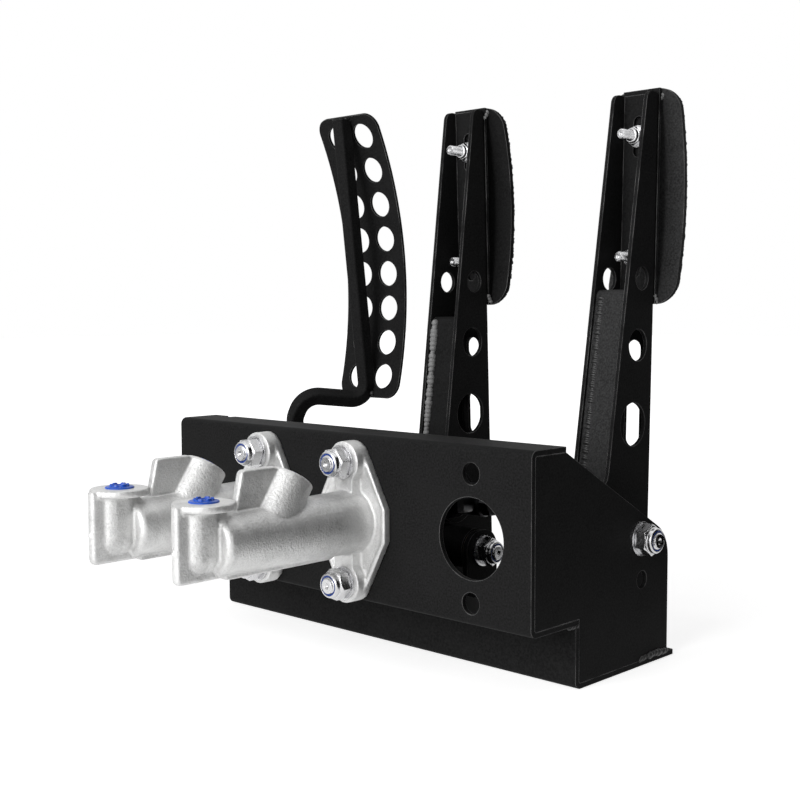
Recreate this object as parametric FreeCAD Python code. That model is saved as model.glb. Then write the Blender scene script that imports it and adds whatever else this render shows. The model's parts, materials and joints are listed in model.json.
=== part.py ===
import FreeCAD, Part
import math
import os

# Floor mounted pedal box with three pedals, two master cylinders and a balance bar.
# Millimetres. X runs across the box, Y towards the driver, Z up.
# The origin is the centre of the base plate's underside.

# Box, folded and welded from sheet
box_width = 241.4
box_height = 108.4
sheet = 2.5
bend_inside = 1.0
flange_depth = 24.0
step_height = 28.8
step_back = 32.0
base_depth = 80.0
cheek_depth = 106.5
cheek_slope_end = 96.0
cheek_slope_end_height = 65.5
cheek_corner = 18.0
floor_hole = 8.5
floor_hole_in = 14.0
notch_width = 6.0
notch_depth = 3.5
notch_from_end = 11.0

# Lugs that carry the pivots
lug_sheet = 3.0
lug_width = 24.0
lug_corner = 10.0
lug_rise = 10.5

# Master cylinder places and the three drillings in the front plate
cylinder_drop = 40.9
left_cylinder = -46.25
right_cylinder = 16.25
spare_cylinder = 87.5
pilot_hole = 36.6
cylinder_bolt_pitch = 57.15
cylinder_bolt_hole = 9.8

# Master cylinder casting
casting_flange = 8.5
casting_flange_height = 76.6
casting_flange_width = 44.8
casting_flange_flat = 15.0
casting_end_radius = 9.7
casting_wing = 3.0
casting_rim_rise = 1.0
casting_rim = 2.4
casting_rib = 12.0
barrel_dia = 30.5
nose_dia = 26.0
barrel_length = 86.0
barrel_round = 3.0
pilot_clearance = 0.15
bore_dia = 19.05
bore_depth = 66.0
mouth_dia = 25.0
mouth_depth = 4.0
fin_thick = 5.0
fin_round = 1.5
fin_end = 105.5
fin_drop = 14.7
fin_under_disc = 0.3
fin_corner = 2.5
outlet_back = 89.6
outlet_rise = 19.0
outlet_disc = 27.2
outlet_disc_thick = 3.3
disc_round = 0.8
outlet_boss = 12.4
outlet_boss_reach = 4.2
outlet_boss_drop = 10.5
outlet_bore = 10.0
outlet_bore_depth = 14.0
inlet_back = 40.5
inlet_rise = 24.8
inlet_lean = 34.0
inlet_dia = 21.5
inlet_rim = 1.2
inlet_bore = 11.0
inlet_bore_depth = 12.0
gusset_rise = 30.7
gusset_front = 70.3
gusset_foot = 74.4
gusset_thick = 4.5
gusset_corner = 2.5
gusset_round = 1.0
gusset_sink = 1.6
keel_width = 5.0
keel_drop = 0.6
keel_from = 18.0
keel_to = 80.0
pip_dia = 3.0
pip_rise = -1.2

# Blue shipping plugs in the ports
plug_head = 13.2
plug_head_thick = 0.8
plug_hat = 8.8
plug_hat_height = 1.6
plug_wall = 1.0
plug_fit = 0.1
plug_depth = 7.0

# Eight millimetre hardware
bolt_dia = 8.0
bolt_hole = 8.4
bolt_head_flats = 13.0
bolt_head = 5.3
nut_flats = 13.0
nut_hex = 6.2
nut_collar = 11.8
nut_height = 8.6
insert_height = 1.5
insert_wall = 0.9
insert_share = 0.7
washer_dia = 16.0
washer_thick = 1.6
bolt_past_nut = 0.9

# Five millimetre pad hardware
stud_dia = 5.0
pad_nut_flats = 8.0
pad_nut_height = 6.0
pad_washer_dia = 11.0
pad_washer_thick = 1.0
pad_washer_hole = 5.3
pad_hex_share = 0.7
pad_nut_collar = 7.4
pad_seat_gap = 0.15

# Pivots
pivot_back = 84.0
pivot_drop = 25.5
clutch_pivot_back = 81.5
clutch_pivot_drop = 6.7
spare_pivot_drop = 1.0
tube_dia = 22.0
bush_dia = 16.0
sleeve_dia = 12.7
sleeve_fit = 0.15
bush_flange_dia = 20.0
bush_flange = 1.5
bush_length = 12.0
running_fit = 0.04
side_gap = 0.3

# Pedal arms, folded channels
arm_width = 21.0
arm_sheet = 2.0
arm_bend = 2.0
arm_front_corner = 5.0
arm_top_corner = 3.0
arm_heel_corner = 5.0
arm_neck_corner = 10.0
end_round = 0.98
arm_hole_heights = (182.0, 149.3, 110.5)
arm_hole_dias = (11.3, 15.7, 21.5)
web_slot_width = 5.6
web_slot_length = 20.0
web_window_width = 8.6
web_window_heights = (146.0, 109.5)
web_window_lengths = (11.0, 24.0)
boxing_inset = 1.8
boxing_lip = 10.0
brake_x = -14.0
brake_top = 274.5
brake_web_back = 126.4
brake_web_lean = -2.1
brake_front_low = (88.1, 101.8)
brake_front_slope = 6.88
brake_boxing_top = 163.0
brake_boxing_rise = 20.5
brake_web_rise = 4.0
brake_neck_rise = 28.5
brake_lobe_front = 71.0
brake_lobe_rise = 16.5
brake_lobe_corner = 8.0
brake_web_drop = 12.0
brake_heel_back = 18.0
brake_heel_drop = 23.0
clutch_x = 87.5
clutch_top = 273.5
clutch_web_back = 125.7
clutch_web_lean = 1.34
clutch_front_low = (90.6, 94.0)
clutch_front_slope = 9.35
clutch_boxing_top = 176.5
clutch_boxing_rise = 19.2
clutch_neck_rise = 23.2
clutch_heel_drop = 38.8
clutch_pin_drop = 33.8
clutch_pin_dia = 8.0
clutch_pin_fit = 0.1
clutch_pin_head = 13.0
clutch_pin_head_thick = 2.5
clutch_pin_tail = 4.0
clutch_groove_in = 1.6
clutch_neck_dia = 6.4
clutch_clip = 0.8
clutch_clip_dia = 12.0
clip_fit = 0.1
clutch_tail_radius = 8.0
clutch_lobe_corner = 9.0

# Pads
pad_width = 40.0
pad_height = 106.4
pad_bottom = 169.4
pad_plate = 2.5
pad_coat = 1.0
pad_bow = 8.1
strap_thick = 1.6
pad_corner = 11.0
pad_stud_heights = (252.6, 192.8)
pad_stud_out = 15.5

# Balance bar
bias_tube_dia = 28.0
bias_tube_bore = 22.0
bias_tube_length = 34.0
bias_back = 88.0
bearing_width = 11.0
bearing_ball = 15.5
bar_dia = 9.5
bar_ends = 4.0
bar_short_end = 1.0
trunnion_dia = 17.0
trunnion_width = 15.0
trunnion_play = 0.5
trunnion_neck = 12.0
trunnion_neck_length = 9.0
pushrod_dia = 8.0
pushrod_ball = 9.5
locknut_flats = 13.0
locknut_thick = 5.0
jam_nut_flats = 14.0
jam_nut_thick = 5.0
jam_gap = 0.6
piston_length = 30.0
piston_fit = 0.05
seal_places = (0.2, 0.75)
seal_depth = 2.0
seal_width = 2.4
stop_ring_fit = 0.1
stop_ring_sunk = 1.0
stop_ring_bore = 13.0
boot_length = 14.0
boot_wall = 1.6
boot_fit = 0.3
boot_in = 4.0
boot_lip = 3.0
boot_step_share = 0.6

# Throttle
throttle_x = -88.3
throttle_width = 47.5
throttle_plate = 1.6
throttle_radius = 218.3
throttle_centre = (-99.0, 174.0)
throttle_top_angle = 28.2
throttle_bottom_angle = -15.6
throttle_corner = 9.0
throttle_holes = 8
throttle_hole_dia = 14.5
throttle_hole_top_angle = 24.9
throttle_hole_step = 5.3
throttle_hole_columns = 20.5
bar_side = 8.0
bar_edge = 1.2
bar_top = 275.5
bar_top_in = 2.0
bar_low_in = 3.0
bar_x = -87.5
bar_knee_height = 113.4
bar_knee_radius = 9.0
bar_foot_in = 12.2
bar_foot = (77.1, 117.4)
bar_foot_radius = 12.0
bar_ankle_in = 6.2
bar_ankle = (75.0, 103.5)
bar_ankle_radius = 12.0
bar_seat_gap = 0.1
lever_clear = 14.0
lever_thick = 3.0
lever_eye = 6.2
lever_x = -92.0
lever_angle = 25.0

# Where the pivots' lugs stand
brake_lug_gap = 71.5
clutch_lug_x = 70.0
throttle_lug_x = -77.0

# Worked out from the above
front = -(step_back + base_depth / 2)
half = box_width / 2
cylinder_height = box_height - cylinder_drop
outlet_top = cylinder_height + outlet_rise
inlet_top = cylinder_height + inlet_rise
gusset_top = cylinder_height + gusset_rise
fin_bottom = cylinder_height - fin_drop
pivot_height = cylinder_height - pivot_drop
clutch_pivot_height = cylinder_height - clutch_pivot_drop
clutch_pin_height = clutch_pivot_height - clutch_pin_drop
bend_outside = bend_inside + sheet
cheek_inside = half - sheet
over = 0.01
bolt_past = washer_thick + nut_height + bolt_past_nut


def back(distance):
    """Y of a point that lies so far behind the front plate's outer face."""
    return front + distance


def on_side(x):
    """Placer for outlines drawn as (distance behind the front, height)."""
    return lambda a, b: FreeCAD.Vector(x, back(a), b)


def on_front(distance):
    """Placer for outlines drawn as (x, height)."""
    return lambda a, b: FreeCAD.Vector(a, back(distance), b)


def outline(points, place):
    """Closed wire through (a, b, radius) corners, each corner rounded by its radius."""
    corners = [place(a, b) for a, b, _ in points]
    starts = []
    ends = []
    middles = []
    for i, (_, _, radius) in enumerate(points):
        here = corners[i]
        before = corners[i - 1] - here
        after = corners[(i + 1) % len(corners)] - here
        before.normalize()
        after.normalize()
        if radius <= 0:
            starts.append(here)
            ends.append(here)
            middles.append(None)
            continue
        half_angle = before.getAngle(after) / 2
        reach = radius / math.tan(half_angle)
        inward = before + after
        inward.normalize()
        centre = here + inward * (radius / math.sin(half_angle))
        starts.append(here + before * reach)
        ends.append(here + after * reach)
        middles.append(centre - inward * radius)
    edges = []
    for i, middle in enumerate(middles):
        if middle is not None:
            edges.append(Part.Arc(starts[i], middle, ends[i]).toShape())
        following = starts[(i + 1) % len(starts)]
        if (following - ends[i]).Length > 1e-6:
            edges.append(Part.LineSegment(ends[i], following).toShape())
    return Part.Wire(edges)


def slab(points, place, direction):
    """Outline pushed along a direction into a solid."""
    return Part.Face(outline(points, place)).extrude(direction)


def along_x(length):
    return FreeCAD.Vector(length, 0, 0)


def along_y(length):
    return FreeCAD.Vector(0, length, 0)


def rod(diameter, length, start, direction):
    return Part.makeCylinder(diameter / 2, length, start, direction)


def rod_x(diameter, x_from, x_to, distance, height):
    """Round bar along X."""
    return rod(diameter, x_to - x_from, FreeCAD.Vector(x_from, back(distance), height), FreeCAD.Vector(1, 0, 0))


def rod_y(diameter, from_back, to_back, x, height):
    """Round bar along Y between two distances behind the front."""
    return rod(diameter, to_back - from_back, FreeCAD.Vector(x, back(from_back), height), FreeCAD.Vector(0, 1, 0))


def hexagon(flats, thickness, start, direction):
    """Hexagon prism with chamfered corners on its far end."""
    radius = flats / math.sqrt(3)
    points = []
    for i in range(6):
        angle = math.radians(60 * i + 30)
        points.append(FreeCAD.Vector(radius * math.cos(angle), radius * math.sin(angle), 0))
    prism = Part.Face(Part.makePolygon(points + points[:1])).extrude(FreeCAD.Vector(0, 0, thickness))
    slope = (radius - flats / 2) * math.tan(math.radians(30))
    cone = Part.makeCone(radius + over, flats / 2, slope, FreeCAD.Vector(0, 0, thickness - slope))
    body = Part.makeCylinder(radius + over, thickness - slope)
    shape = prism.common(body.fuse(cone))
    turn = FreeCAD.Rotation(FreeCAD.Vector(0, 0, 1), direction)
    shape.Placement = FreeCAD.Placement(start, turn).multiply(shape.Placement)
    return shape


def ring(outer, inner, thickness, start, direction):
    """Flat washer or bush wall."""
    return rod(outer, thickness, start, direction).cut(rod(inner, thickness, start, direction))


def lock_nut(start, direction, bore, flats, hex_height, height, collar):
    """Steel body of a lock nut, with the groove that holds the plastic ring."""
    body = hexagon(flats, hex_height, start, direction)
    body = body.fuse(rod(collar, height, start, direction))
    tip = start + direction * (height - insert_height)
    body = body.cut(rod(bore, height, start, direction))
    return body.cut(rod(bore + 2 * insert_wall, insert_height, tip, direction))


def nut_insert(start, direction, bore, height):
    """Plastic ring in the end of a lock nut."""
    tip = start + direction * (height - insert_height)
    return ring(bore + 2 * insert_wall, bore, insert_height * insert_share, tip, direction)


def group(shapes):
    return shapes[0] if len(shapes) == 1 else Part.makeCompound(shapes)


def clean(shape):
    shape = shape.removeSplitter()
    solids = shape.Solids
    return solids[0] if len(solids) == 1 else Part.makeCompound(solids)


# Box


def front_panel():
    """Top flange, upper front plate and the step's return, folded in one piece."""
    profile = [
        (flange_depth, box_height, 0),
        (0, box_height, bend_outside),
        (0, step_height, bend_outside),
        (step_back + sheet, step_height, 0),
        (step_back + sheet, step_height + sheet, 0),
        (sheet, step_height + sheet, bend_inside),
        (sheet, box_height - sheet, bend_inside),
        (flange_depth, box_height - sheet, 0),
    ]
    panel = slab(profile, on_side(-half), along_x(box_width))
    for x in (left_cylinder, right_cylinder, spare_cylinder):
        panel = panel.cut(rod_y(pilot_hole, -1, sheet + 1, x, cylinder_height))
        for height in bolt_heights():
            panel = panel.cut(rod_y(cylinder_bolt_hole, -1, sheet + 1, x, height))
    notch = Part.makeBox(
        notch_width,
        notch_depth,
        sheet * 2,
        FreeCAD.Vector(notch_from_end - half, back(flange_depth - notch_depth), box_height - sheet * 1.5),
    )
    return panel.cut(notch)


def base_panel():
    """Lower front plate and base, folded in one piece."""
    rear = step_back + base_depth
    profile = [
        (step_back, step_height, 0),
        (step_back, 0, bend_outside),
        (rear, 0, 0),
        (rear, sheet, 0),
        (step_back + sheet, sheet, bend_inside),
        (step_back + sheet, step_height, 0),
    ]
    panel = slab(profile, on_side(-half), along_x(box_width))
    for x, y in floor_hole_places():
        panel = panel.cut(rod(floor_hole, sheet * 2, FreeCAD.Vector(x, y, -sheet / 2), FreeCAD.Vector(0, 0, 1)))
    return panel


def floor_hole_places():
    """Four floor bolt holes near the corners of the base."""
    reach_x = cheek_inside - floor_hole_in
    reach_y = base_depth / 2 - floor_hole_in
    return [(sx * reach_x, sy * reach_y) for sx in (-1, 1) for sy in (-1, 1)]


def cheek(side):
    """End plate of the box, between the folds of the two panels."""
    top = box_height - sheet
    slope = (top - cheek_slope_end_height) / (cheek_slope_end - flange_depth)
    corner_height = top - slope * (cheek_depth - flange_depth)
    fold = bend_inside + 0.1
    profile = [
        (sheet, top, fold),
        (sheet, step_height + sheet, fold),
        (step_back + sheet, step_height + sheet, 0),
        (step_back + sheet, sheet, fold),
        (cheek_depth, sheet, 0),
        (cheek_depth, corner_height, cheek_corner),
        (flange_depth, top, 0),
    ]
    start = cheek_inside if side > 0 else -half
    plate = slab(profile, on_side(start), along_x(sheet))
    holes = [(pivot_back, pivot_height)]
    if side > 0:
        holes = [(clutch_pivot_back, clutch_pivot_height), (pivot_back, pivot_height - spare_pivot_drop)]
    for distance, height in holes:
        plate = plate.cut(rod_x(bolt_hole, start - 1, start + sheet + 1, distance, height))
    return plate


def lug(x_from, distance, height):
    """Upright that carries one end of a pivot bolt, welded to the base."""
    low = distance - lug_width / 2
    high = distance + lug_width / 2
    top = height + lug_rise
    profile = [
        (low, sheet, 0),
        (high, sheet, 0),
        (high, top, lug_corner),
        (low, top, lug_corner),
    ]
    plate = slab(profile, on_side(x_from), along_x(lug_sheet))
    return plate.cut(rod_x(bolt_hole, x_from - 1, x_from + lug_sheet + 1, distance, height))


# Master cylinders


def diamond(x, half_width, radius, from_back, to_back):
    """Two round ends joined to a waist by straight flanks."""
    flat = casting_flange_flat / 2
    rise = casting_flange_height / 2 - casting_end_radius
    reach = math.hypot(half_width, rise - flat)
    direction = math.atan2(half_width, rise - flat) - math.asin(radius / reach)
    side = radius * math.cos(direction)
    shoulder = rise + radius * math.sin(direction)
    crown = rise + radius
    place = on_front(from_back)

    def at(across, up):
        return place(x + across, cylinder_height + up)

    def line(first, second):
        return Part.LineSegment(at(*first), at(*second)).toShape()

    edges = [
        line((side, shoulder), (half_width, flat)),
        line((half_width, flat), (half_width, -flat)),
        line((half_width, -flat), (side, -shoulder)),
        Part.Arc(at(side, -shoulder), at(0, -crown), at(-side, -shoulder)).toShape(),
        line((-side, -shoulder), (-half_width, -flat)),
        line((-half_width, -flat), (-half_width, flat)),
        line((-half_width, flat), (-side, shoulder)),
        Part.Arc(at(-side, shoulder), at(0, crown), at(side, shoulder)).toShape(),
    ]
    return Part.Face(Part.Wire(edges)).extrude(along_y(to_back - from_back))


def casting_flange_solid(x):
    """Thin diamond wings with a raised rim, and the rib that joins the two bolt bosses."""
    half_width = casting_flange_width / 2
    rim_face = -casting_wing - casting_rim_rise
    pocket_radius = casting_end_radius - casting_rim
    flange = diamond(x, half_width, casting_end_radius, rim_face, 0)
    flange = flange.cut(diamond(x, half_width - casting_rim, pocket_radius, rim_face, -casting_wing))
    low, high = bolt_heights()
    corner = FreeCAD.Vector(x - casting_rib / 2, back(-casting_flange), low)
    flange = flange.fuse(Part.makeBox(casting_rib, casting_flange, high - low, corner))
    for height in (low, high):
        flange = flange.fuse(rod_y(2 * casting_end_radius, -casting_flange, 0, x, height))
    return flange


def bolt_heights():
    """Heights of the two flange bolts of a master cylinder."""
    return [cylinder_height + side * cylinder_bolt_pitch / 2 for side in (-1, 1)]


def barrel(x):
    """Barrel with casting draft and a rounded nose."""
    length = barrel_length - casting_wing + 1
    start = FreeCAD.Vector(x, back(1 - casting_wing), cylinder_height)
    cone = Part.makeCone(barrel_dia / 2, nose_dia / 2, length, start, FreeCAD.Vector(0, -1, 0))
    nose = [e for e in cone.Edges if abs(e.CenterOfMass.y - back(-barrel_length)) < 0.01]
    return cone.makeFillet(barrel_round, nose[:1])


def outlet(x):
    """Fin in the middle plane, with the oval outlet boss and its top disc."""
    under = outlet_top - outlet_disc_thick
    rear = -barrel_length + barrel_round * 2
    fin = slab(
        [
            (-fin_end, outlet_top - fin_under_disc, disc_round),
            (-fin_end, fin_bottom, fin_corner),
            (rear, fin_bottom, 0),
            (rear, outlet_top - fin_under_disc, 0),
        ],
        on_side(x - fin_thick / 2),
        along_x(fin_thick),
    )
    upright = [e for e in fin.Edges if e.BoundBox.YMax - back(-fin_end) < 0.01 and e.BoundBox.ZLength > fin_thick]
    fin = fin.makeFillet(fin_round, upright)
    radius = outlet_boss / 2
    foot = cylinder_height - outlet_boss_drop + radius
    shape = fin
    for distance in (outlet_back, outlet_back + outlet_boss_reach):
        centre = FreeCAD.Vector(x, back(-distance), foot)
        shape = shape.fuse(Part.makeCylinder(radius, under + 1 - foot, centre))
        shape = shape.fuse(Part.makeSphere(radius, centre))
    bridge_corner = FreeCAD.Vector(x - radius, back(-outlet_back - outlet_boss_reach), foot)
    shape = shape.fuse(Part.makeBox(outlet_boss, outlet_boss_reach, under + 1 - foot, bridge_corner))
    disc = Part.makeCylinder(outlet_disc / 2, outlet_disc_thick, FreeCAD.Vector(x, back(-outlet_back), under))
    disc = disc.makeFillet(disc_round, [e for e in disc.Edges if e.BoundBox.ZLength < 0.01])
    return shape.fuse(disc)


def inlet_axis():
    lean = math.radians(inlet_lean)
    return FreeCAD.Vector(0, math.sin(lean), math.cos(lean))


def inlet(x):
    """Leaning inlet boss with the gusset that braces its front."""
    axis = inlet_axis()
    mouth = FreeCAD.Vector(x, back(-inlet_back), inlet_top)
    root_length = (inlet_top - cylinder_height) / axis.z
    boss = rod(inlet_dia, root_length, mouth - axis * root_length, axis)
    rim = [e for e in boss.Edges if (e.CenterOfMass - mouth).Length < 0.5 and e.Closed]
    boss = boss.makeFillet(inlet_rim, rim[:1])
    # The gusset's top runs down into the boss a little below its rounded rim
    inner = inlet_dia / 2 - inlet_rim
    end_back = -inlet_back - inner * axis.z - gusset_sink * axis.y
    end_height = inlet_top + inner * axis.y - gusset_sink * axis.z
    gusset = slab(
        [
            (-gusset_foot, cylinder_height, 0),
            (-gusset_foot, cylinder_height + nose_dia / 2, 0),
            (-gusset_front, gusset_top, gusset_corner),
            (end_back - gusset_corner, gusset_top, 0),
            (end_back, end_height, 0),
            (-inlet_back - root_length * axis.y, cylinder_height, 0),
        ],
        on_side(x - gusset_thick / 2),
        along_x(gusset_thick),
    )
    outer = []
    for edge in gusset.Edges:
        flat = edge.BoundBox.XLength < 0.01
        middle = edge.CenterOfMass
        if flat and middle.z > cylinder_height + nose_dia / 2 and middle.y < back(-gusset_front + gusset_corner):
            outer.append(edge)
    gusset = gusset.makeFillet(gusset_round, outer)
    return boss.fuse(gusset)


def casting(x):
    """Master cylinder casting: flange, barrel, outlet fin and leaning inlet boss."""
    body = casting_flange_solid(x).fuse(barrel(x))
    body = body.fuse(rod_y(pilot_hole - 2 * pilot_clearance, -1, sheet, x, cylinder_height))
    body = body.fuse(outlet(x)).fuse(inlet(x))
    # Parting line keel under the barrel, and the casting pip on the fin's end
    keel_bottom = cylinder_height - barrel_dia / 2 - keel_drop
    keel_corner = FreeCAD.Vector(x - keel_width / 2, back(-keel_to), keel_bottom)
    body = body.fuse(Part.makeBox(keel_width, keel_to - keel_from, barrel_dia / 2 + keel_drop, keel_corner))
    pip_centre = FreeCAD.Vector(x, back(-fin_end + pip_dia / 6), cylinder_height + pip_rise)
    body = body.fuse(Part.makeSphere(pip_dia / 2, pip_centre))
    # Bores
    body = body.cut(rod_y(bore_dia, -bore_depth, sheet + 1, x, cylinder_height))
    body = body.cut(rod_y(mouth_dia, sheet - mouth_depth, sheet + 1, x, cylinder_height))
    for mouth, axis, port, depth, _ in ports(x):
        body = body.cut(rod(port, depth + 1, mouth - axis * depth, axis))
    for height in bolt_heights():
        body = body.cut(rod_y(bolt_hole, -casting_flange - 1, 1, x, height))
    return clean(body)


def ports(x):
    """Mouth, axis, diameter and depth of a casting's outlet and inlet ports."""
    up = FreeCAD.Vector(0, 0, 1)
    return [
        (FreeCAD.Vector(x, back(-outlet_back), outlet_top), up, outlet_bore, outlet_bore_depth, "outlet"),
        (FreeCAD.Vector(x, back(-inlet_back), inlet_top), inlet_axis(), inlet_bore, inlet_bore_depth, "inlet"),
    ]


def port_plug(mouth, axis, port, hat):
    """Push-in plug: flange on the port's face and hollow shank, with a small hat where one is seen."""
    shank = port - 2 * plug_fit
    root = mouth - axis * plug_depth
    plug = rod(plug_head, plug_head_thick, mouth, axis).fuse(rod(shank, plug_depth, root, axis))
    if hat:
        plug = plug.fuse(rod(plug_hat, plug_head_thick + plug_hat_height, mouth, axis))
        face = mouth + axis * plug_head_thick
        plug = plug.cut(rod(plug_hat - 2 * plug_wall, plug_hat_height, face, axis))
    hollow = plug_depth + plug_head_thick - plug_wall
    return clean(plug.cut(rod(shank - 2 * plug_wall, hollow, root, axis)))


def port_plugs(kind):
    """Plugs of one kind of port in both master cylinders."""
    shapes = []
    for x in (left_cylinder, right_cylinder):
        for mouth, axis, port, _, name in ports(x):
            if name == kind:
                shapes.append(port_plug(mouth, axis, port, kind == "outlet"))
    return group(shapes)


def stop_rings():
    """Washers in the cylinder mouths that the pistons rest against."""
    rings = []
    for x in (left_cylinder, right_cylinder):
        start = FreeCAD.Vector(x, back(sheet - mouth_depth), cylinder_height)
        outer = mouth_dia - 2 * stop_ring_fit
        rings.append(ring(outer, stop_ring_bore, mouth_depth - stop_ring_sunk, start, FreeCAD.Vector(0, 1, 0)))
    return group(rings)


def boots():
    """Rubber dust caps behind the front plate, with a step and a hole for the pushrod."""
    shapes = []
    wide = pilot_hole / 2 - boot_in
    narrow = pushrod_dia / 2 + boot_fit
    waist = narrow + boot_lip
    tip = sheet + boot_length
    step = sheet + boot_length * boot_step_share
    outside = [(narrow, tip), (waist, tip), (waist + boot_wall, step), (wide, step - boot_wall), (wide, sheet)]
    inside = [(wide - boot_wall, sheet)]
    inside += [(r - boot_wall, d - boot_wall) for r, d in outside[3:0:-1]]
    inside.append((narrow, tip - boot_wall))
    for x in (left_cylinder, right_cylinder):
        points = [FreeCAD.Vector(x + r, back(d), cylinder_height) for r, d in outside + inside]
        face = Part.Face(Part.makePolygon(points + points[:1]))
        shapes.append(face.revolve(FreeCAD.Vector(x, 0, cylinder_height), FreeCAD.Vector(0, 1, 0), 360))
    return group(shapes)


def cylinder_hardware():
    """Bolts from inside the box, with washers, lock nuts and their plastic rings outside."""
    outwards = FreeCAD.Vector(0, -1, 0)
    bolts, washers, nuts, inserts = [], [], [], []
    for x in (left_cylinder, right_cylinder):
        for height in bolt_heights():
            head_face = FreeCAD.Vector(x, back(sheet), height)
            seat = FreeCAD.Vector(x, back(-casting_flange), height)
            nut_face = seat + outwards * washer_thick
            head = hexagon(bolt_head_flats, bolt_head, head_face, outwards * -1)
            shank = rod(bolt_dia, sheet + casting_flange + bolt_past, head_face, outwards)
            bolts.append(clean(head.fuse(shank)))
            washers.append(ring(washer_dia, bolt_hole, washer_thick, seat, outwards))
            nuts.append(clean(lock_nut(nut_face, outwards, bolt_dia, nut_flats, nut_hex, nut_height, nut_collar)))
            inserts.append(nut_insert(nut_face, outwards, bolt_dia, nut_height))
    return group(bolts), group(washers), group(nuts), group(inserts)


# Pivots


def pivots():
    """For each pivot: distance, height, inner faces of its two carriers and bolt direction."""
    brake_left = bias_middle() - brake_lug_gap / 2
    brake_right = brake_left + brake_lug_gap
    return {
        "brake": (pivot_back, pivot_height, brake_left, brake_right, lug_sheet, lug_sheet, 1),
        "clutch": (clutch_pivot_back, clutch_pivot_height, clutch_lug_x + lug_sheet, cheek_inside, lug_sheet, sheet, 1),
        "throttle": (pivot_back, pivot_height, -cheek_inside, throttle_lug_x - lug_sheet, sheet, lug_sheet, -1),
    }


def pivot_hardware():
    """Pivot bolts, the sleeves they clamp, washers, lock nuts and plastic rings."""
    bolts, sleeves, washers, nuts, inserts = [], [], [], [], []
    for distance, height, x_low, x_high, wall_low, wall_high, way in pivots().values():
        direction = FreeCAD.Vector(way, 0, 0)
        outer_low = x_low - wall_low
        outer_high = x_high + wall_high
        head_x, nut_x = (outer_low, outer_high) if way > 0 else (outer_high, outer_low)
        head_seat = FreeCAD.Vector(head_x, back(distance), height)
        nut_seat = FreeCAD.Vector(nut_x, back(distance), height)
        washers.append(ring(washer_dia, bolt_hole, washer_thick, head_seat - direction * washer_thick, direction))
        washers.append(ring(washer_dia, bolt_hole, washer_thick, nut_seat, direction))
        head_face = head_seat - direction * washer_thick
        head = hexagon(bolt_head_flats, bolt_head, head_face, direction * -1)
        shank_length = washer_thick + (outer_high - outer_low) + bolt_past
        bolts.append(clean(head.fuse(rod(bolt_dia, shank_length, head_face, direction))))
        nut_face = nut_seat + direction * washer_thick
        nuts.append(clean(lock_nut(nut_face, direction, bolt_dia, nut_flats, nut_hex, nut_height, nut_collar)))
        inserts.append(nut_insert(nut_face, direction, bolt_dia, nut_height))
        start = FreeCAD.Vector(x_low, back(distance), height)
        sleeves.append(ring(sleeve_dia, bolt_dia + 2 * sleeve_fit, x_high - x_low, start, FreeCAD.Vector(1, 0, 0)))
    return group(bolts), group(sleeves), group(washers), group(nuts), group(inserts)


def pivot_tube(name):
    """Tube that turns with a pedal, between the flanges of its two bushes."""
    distance, height, x_low, x_high = pivots()[name][:4]
    x_low += side_gap + bush_flange
    x_high -= side_gap + bush_flange
    return rod_x(tube_dia, x_low, x_high, distance, height).cut(rod_x(bush_dia, x_low, x_high, distance, height))


def bushes(name):
    """Flanged bushes pressed into both ends of a pivot tube."""
    distance, height, x_low, x_high = pivots()[name][:4]
    bore = sleeve_dia + 2 * running_fit
    shapes = []
    for x, way in ((x_low + side_gap, 1), (x_high - side_gap, -1)):
        start = FreeCAD.Vector(x, back(distance), height)
        direction = FreeCAD.Vector(way, 0, 0)
        bush = rod(bush_flange_dia, bush_flange, start, direction)
        bush = bush.fuse(rod(bush_dia, bush_flange + bush_length, start, direction))
        shapes.append(clean(bush.cut(rod(bore, bush_flange + bush_length, start, direction))))
    return group(shapes)


# Pedal arms


def web_line(back_at_pivot, pivot, lean):
    """Distance of the web's driver face at a height."""
    return lambda height: back_at_pivot + (height - pivot) * math.tan(math.radians(lean))


def front_line(low, slope):
    """Distance of the side plates' front edge at a height."""
    return lambda height: low[0] + (height - low[1]) * math.tan(math.radians(slope))


brake_web = web_line(brake_web_back, pivot_height, brake_web_lean)
brake_front = front_line(brake_front_low, brake_front_slope)
clutch_web = web_line(clutch_web_back, clutch_pivot_height, clutch_web_lean)
clutch_front = front_line(clutch_front_low, clutch_front_slope)


def brake_profile():
    heel = tube_dia / 2 + arm_sheet
    rear = pivot_height - brake_web_drop
    lobe_top = cylinder_height + brake_lobe_rise
    neck = cylinder_height + brake_neck_rise
    return [
        (brake_web(brake_top), brake_top, arm_top_corner),
        (brake_web(rear), rear, arm_heel_corner),
        (pivot_back + brake_heel_back, pivot_height - brake_heel_drop, arm_heel_corner),
        (pivot_back - heel, pivot_height - heel, heel * end_round),
        (brake_lobe_front, lobe_top, brake_lobe_corner),
        (brake_front(neck), neck, arm_neck_corner),
        (brake_front(brake_top), brake_top, arm_front_corner),
    ]


def clutch_profile():
    heel = tube_dia / 2 + arm_sheet
    tail = clutch_tail_radius
    pin = clutch_pivot_back
    tail_bottom = clutch_pin_height - tail
    rear = clutch_pivot_height - clutch_heel_drop
    neck = clutch_pivot_height + clutch_neck_rise
    return [
        (clutch_web(clutch_top), clutch_top, arm_top_corner),
        (clutch_web(rear), rear, arm_heel_corner),
        (pin + tail, tail_bottom, tail * end_round),
        (pin - tail, tail_bottom, tail * end_round),
        (pin - heel, clutch_pivot_height, arm_neck_corner),
        (pin - heel, clutch_pivot_height + heel, clutch_lobe_corner),
        (clutch_front(neck), neck, clutch_lobe_corner),
        (clutch_front(clutch_top), clutch_top, arm_front_corner),
    ]


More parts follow.
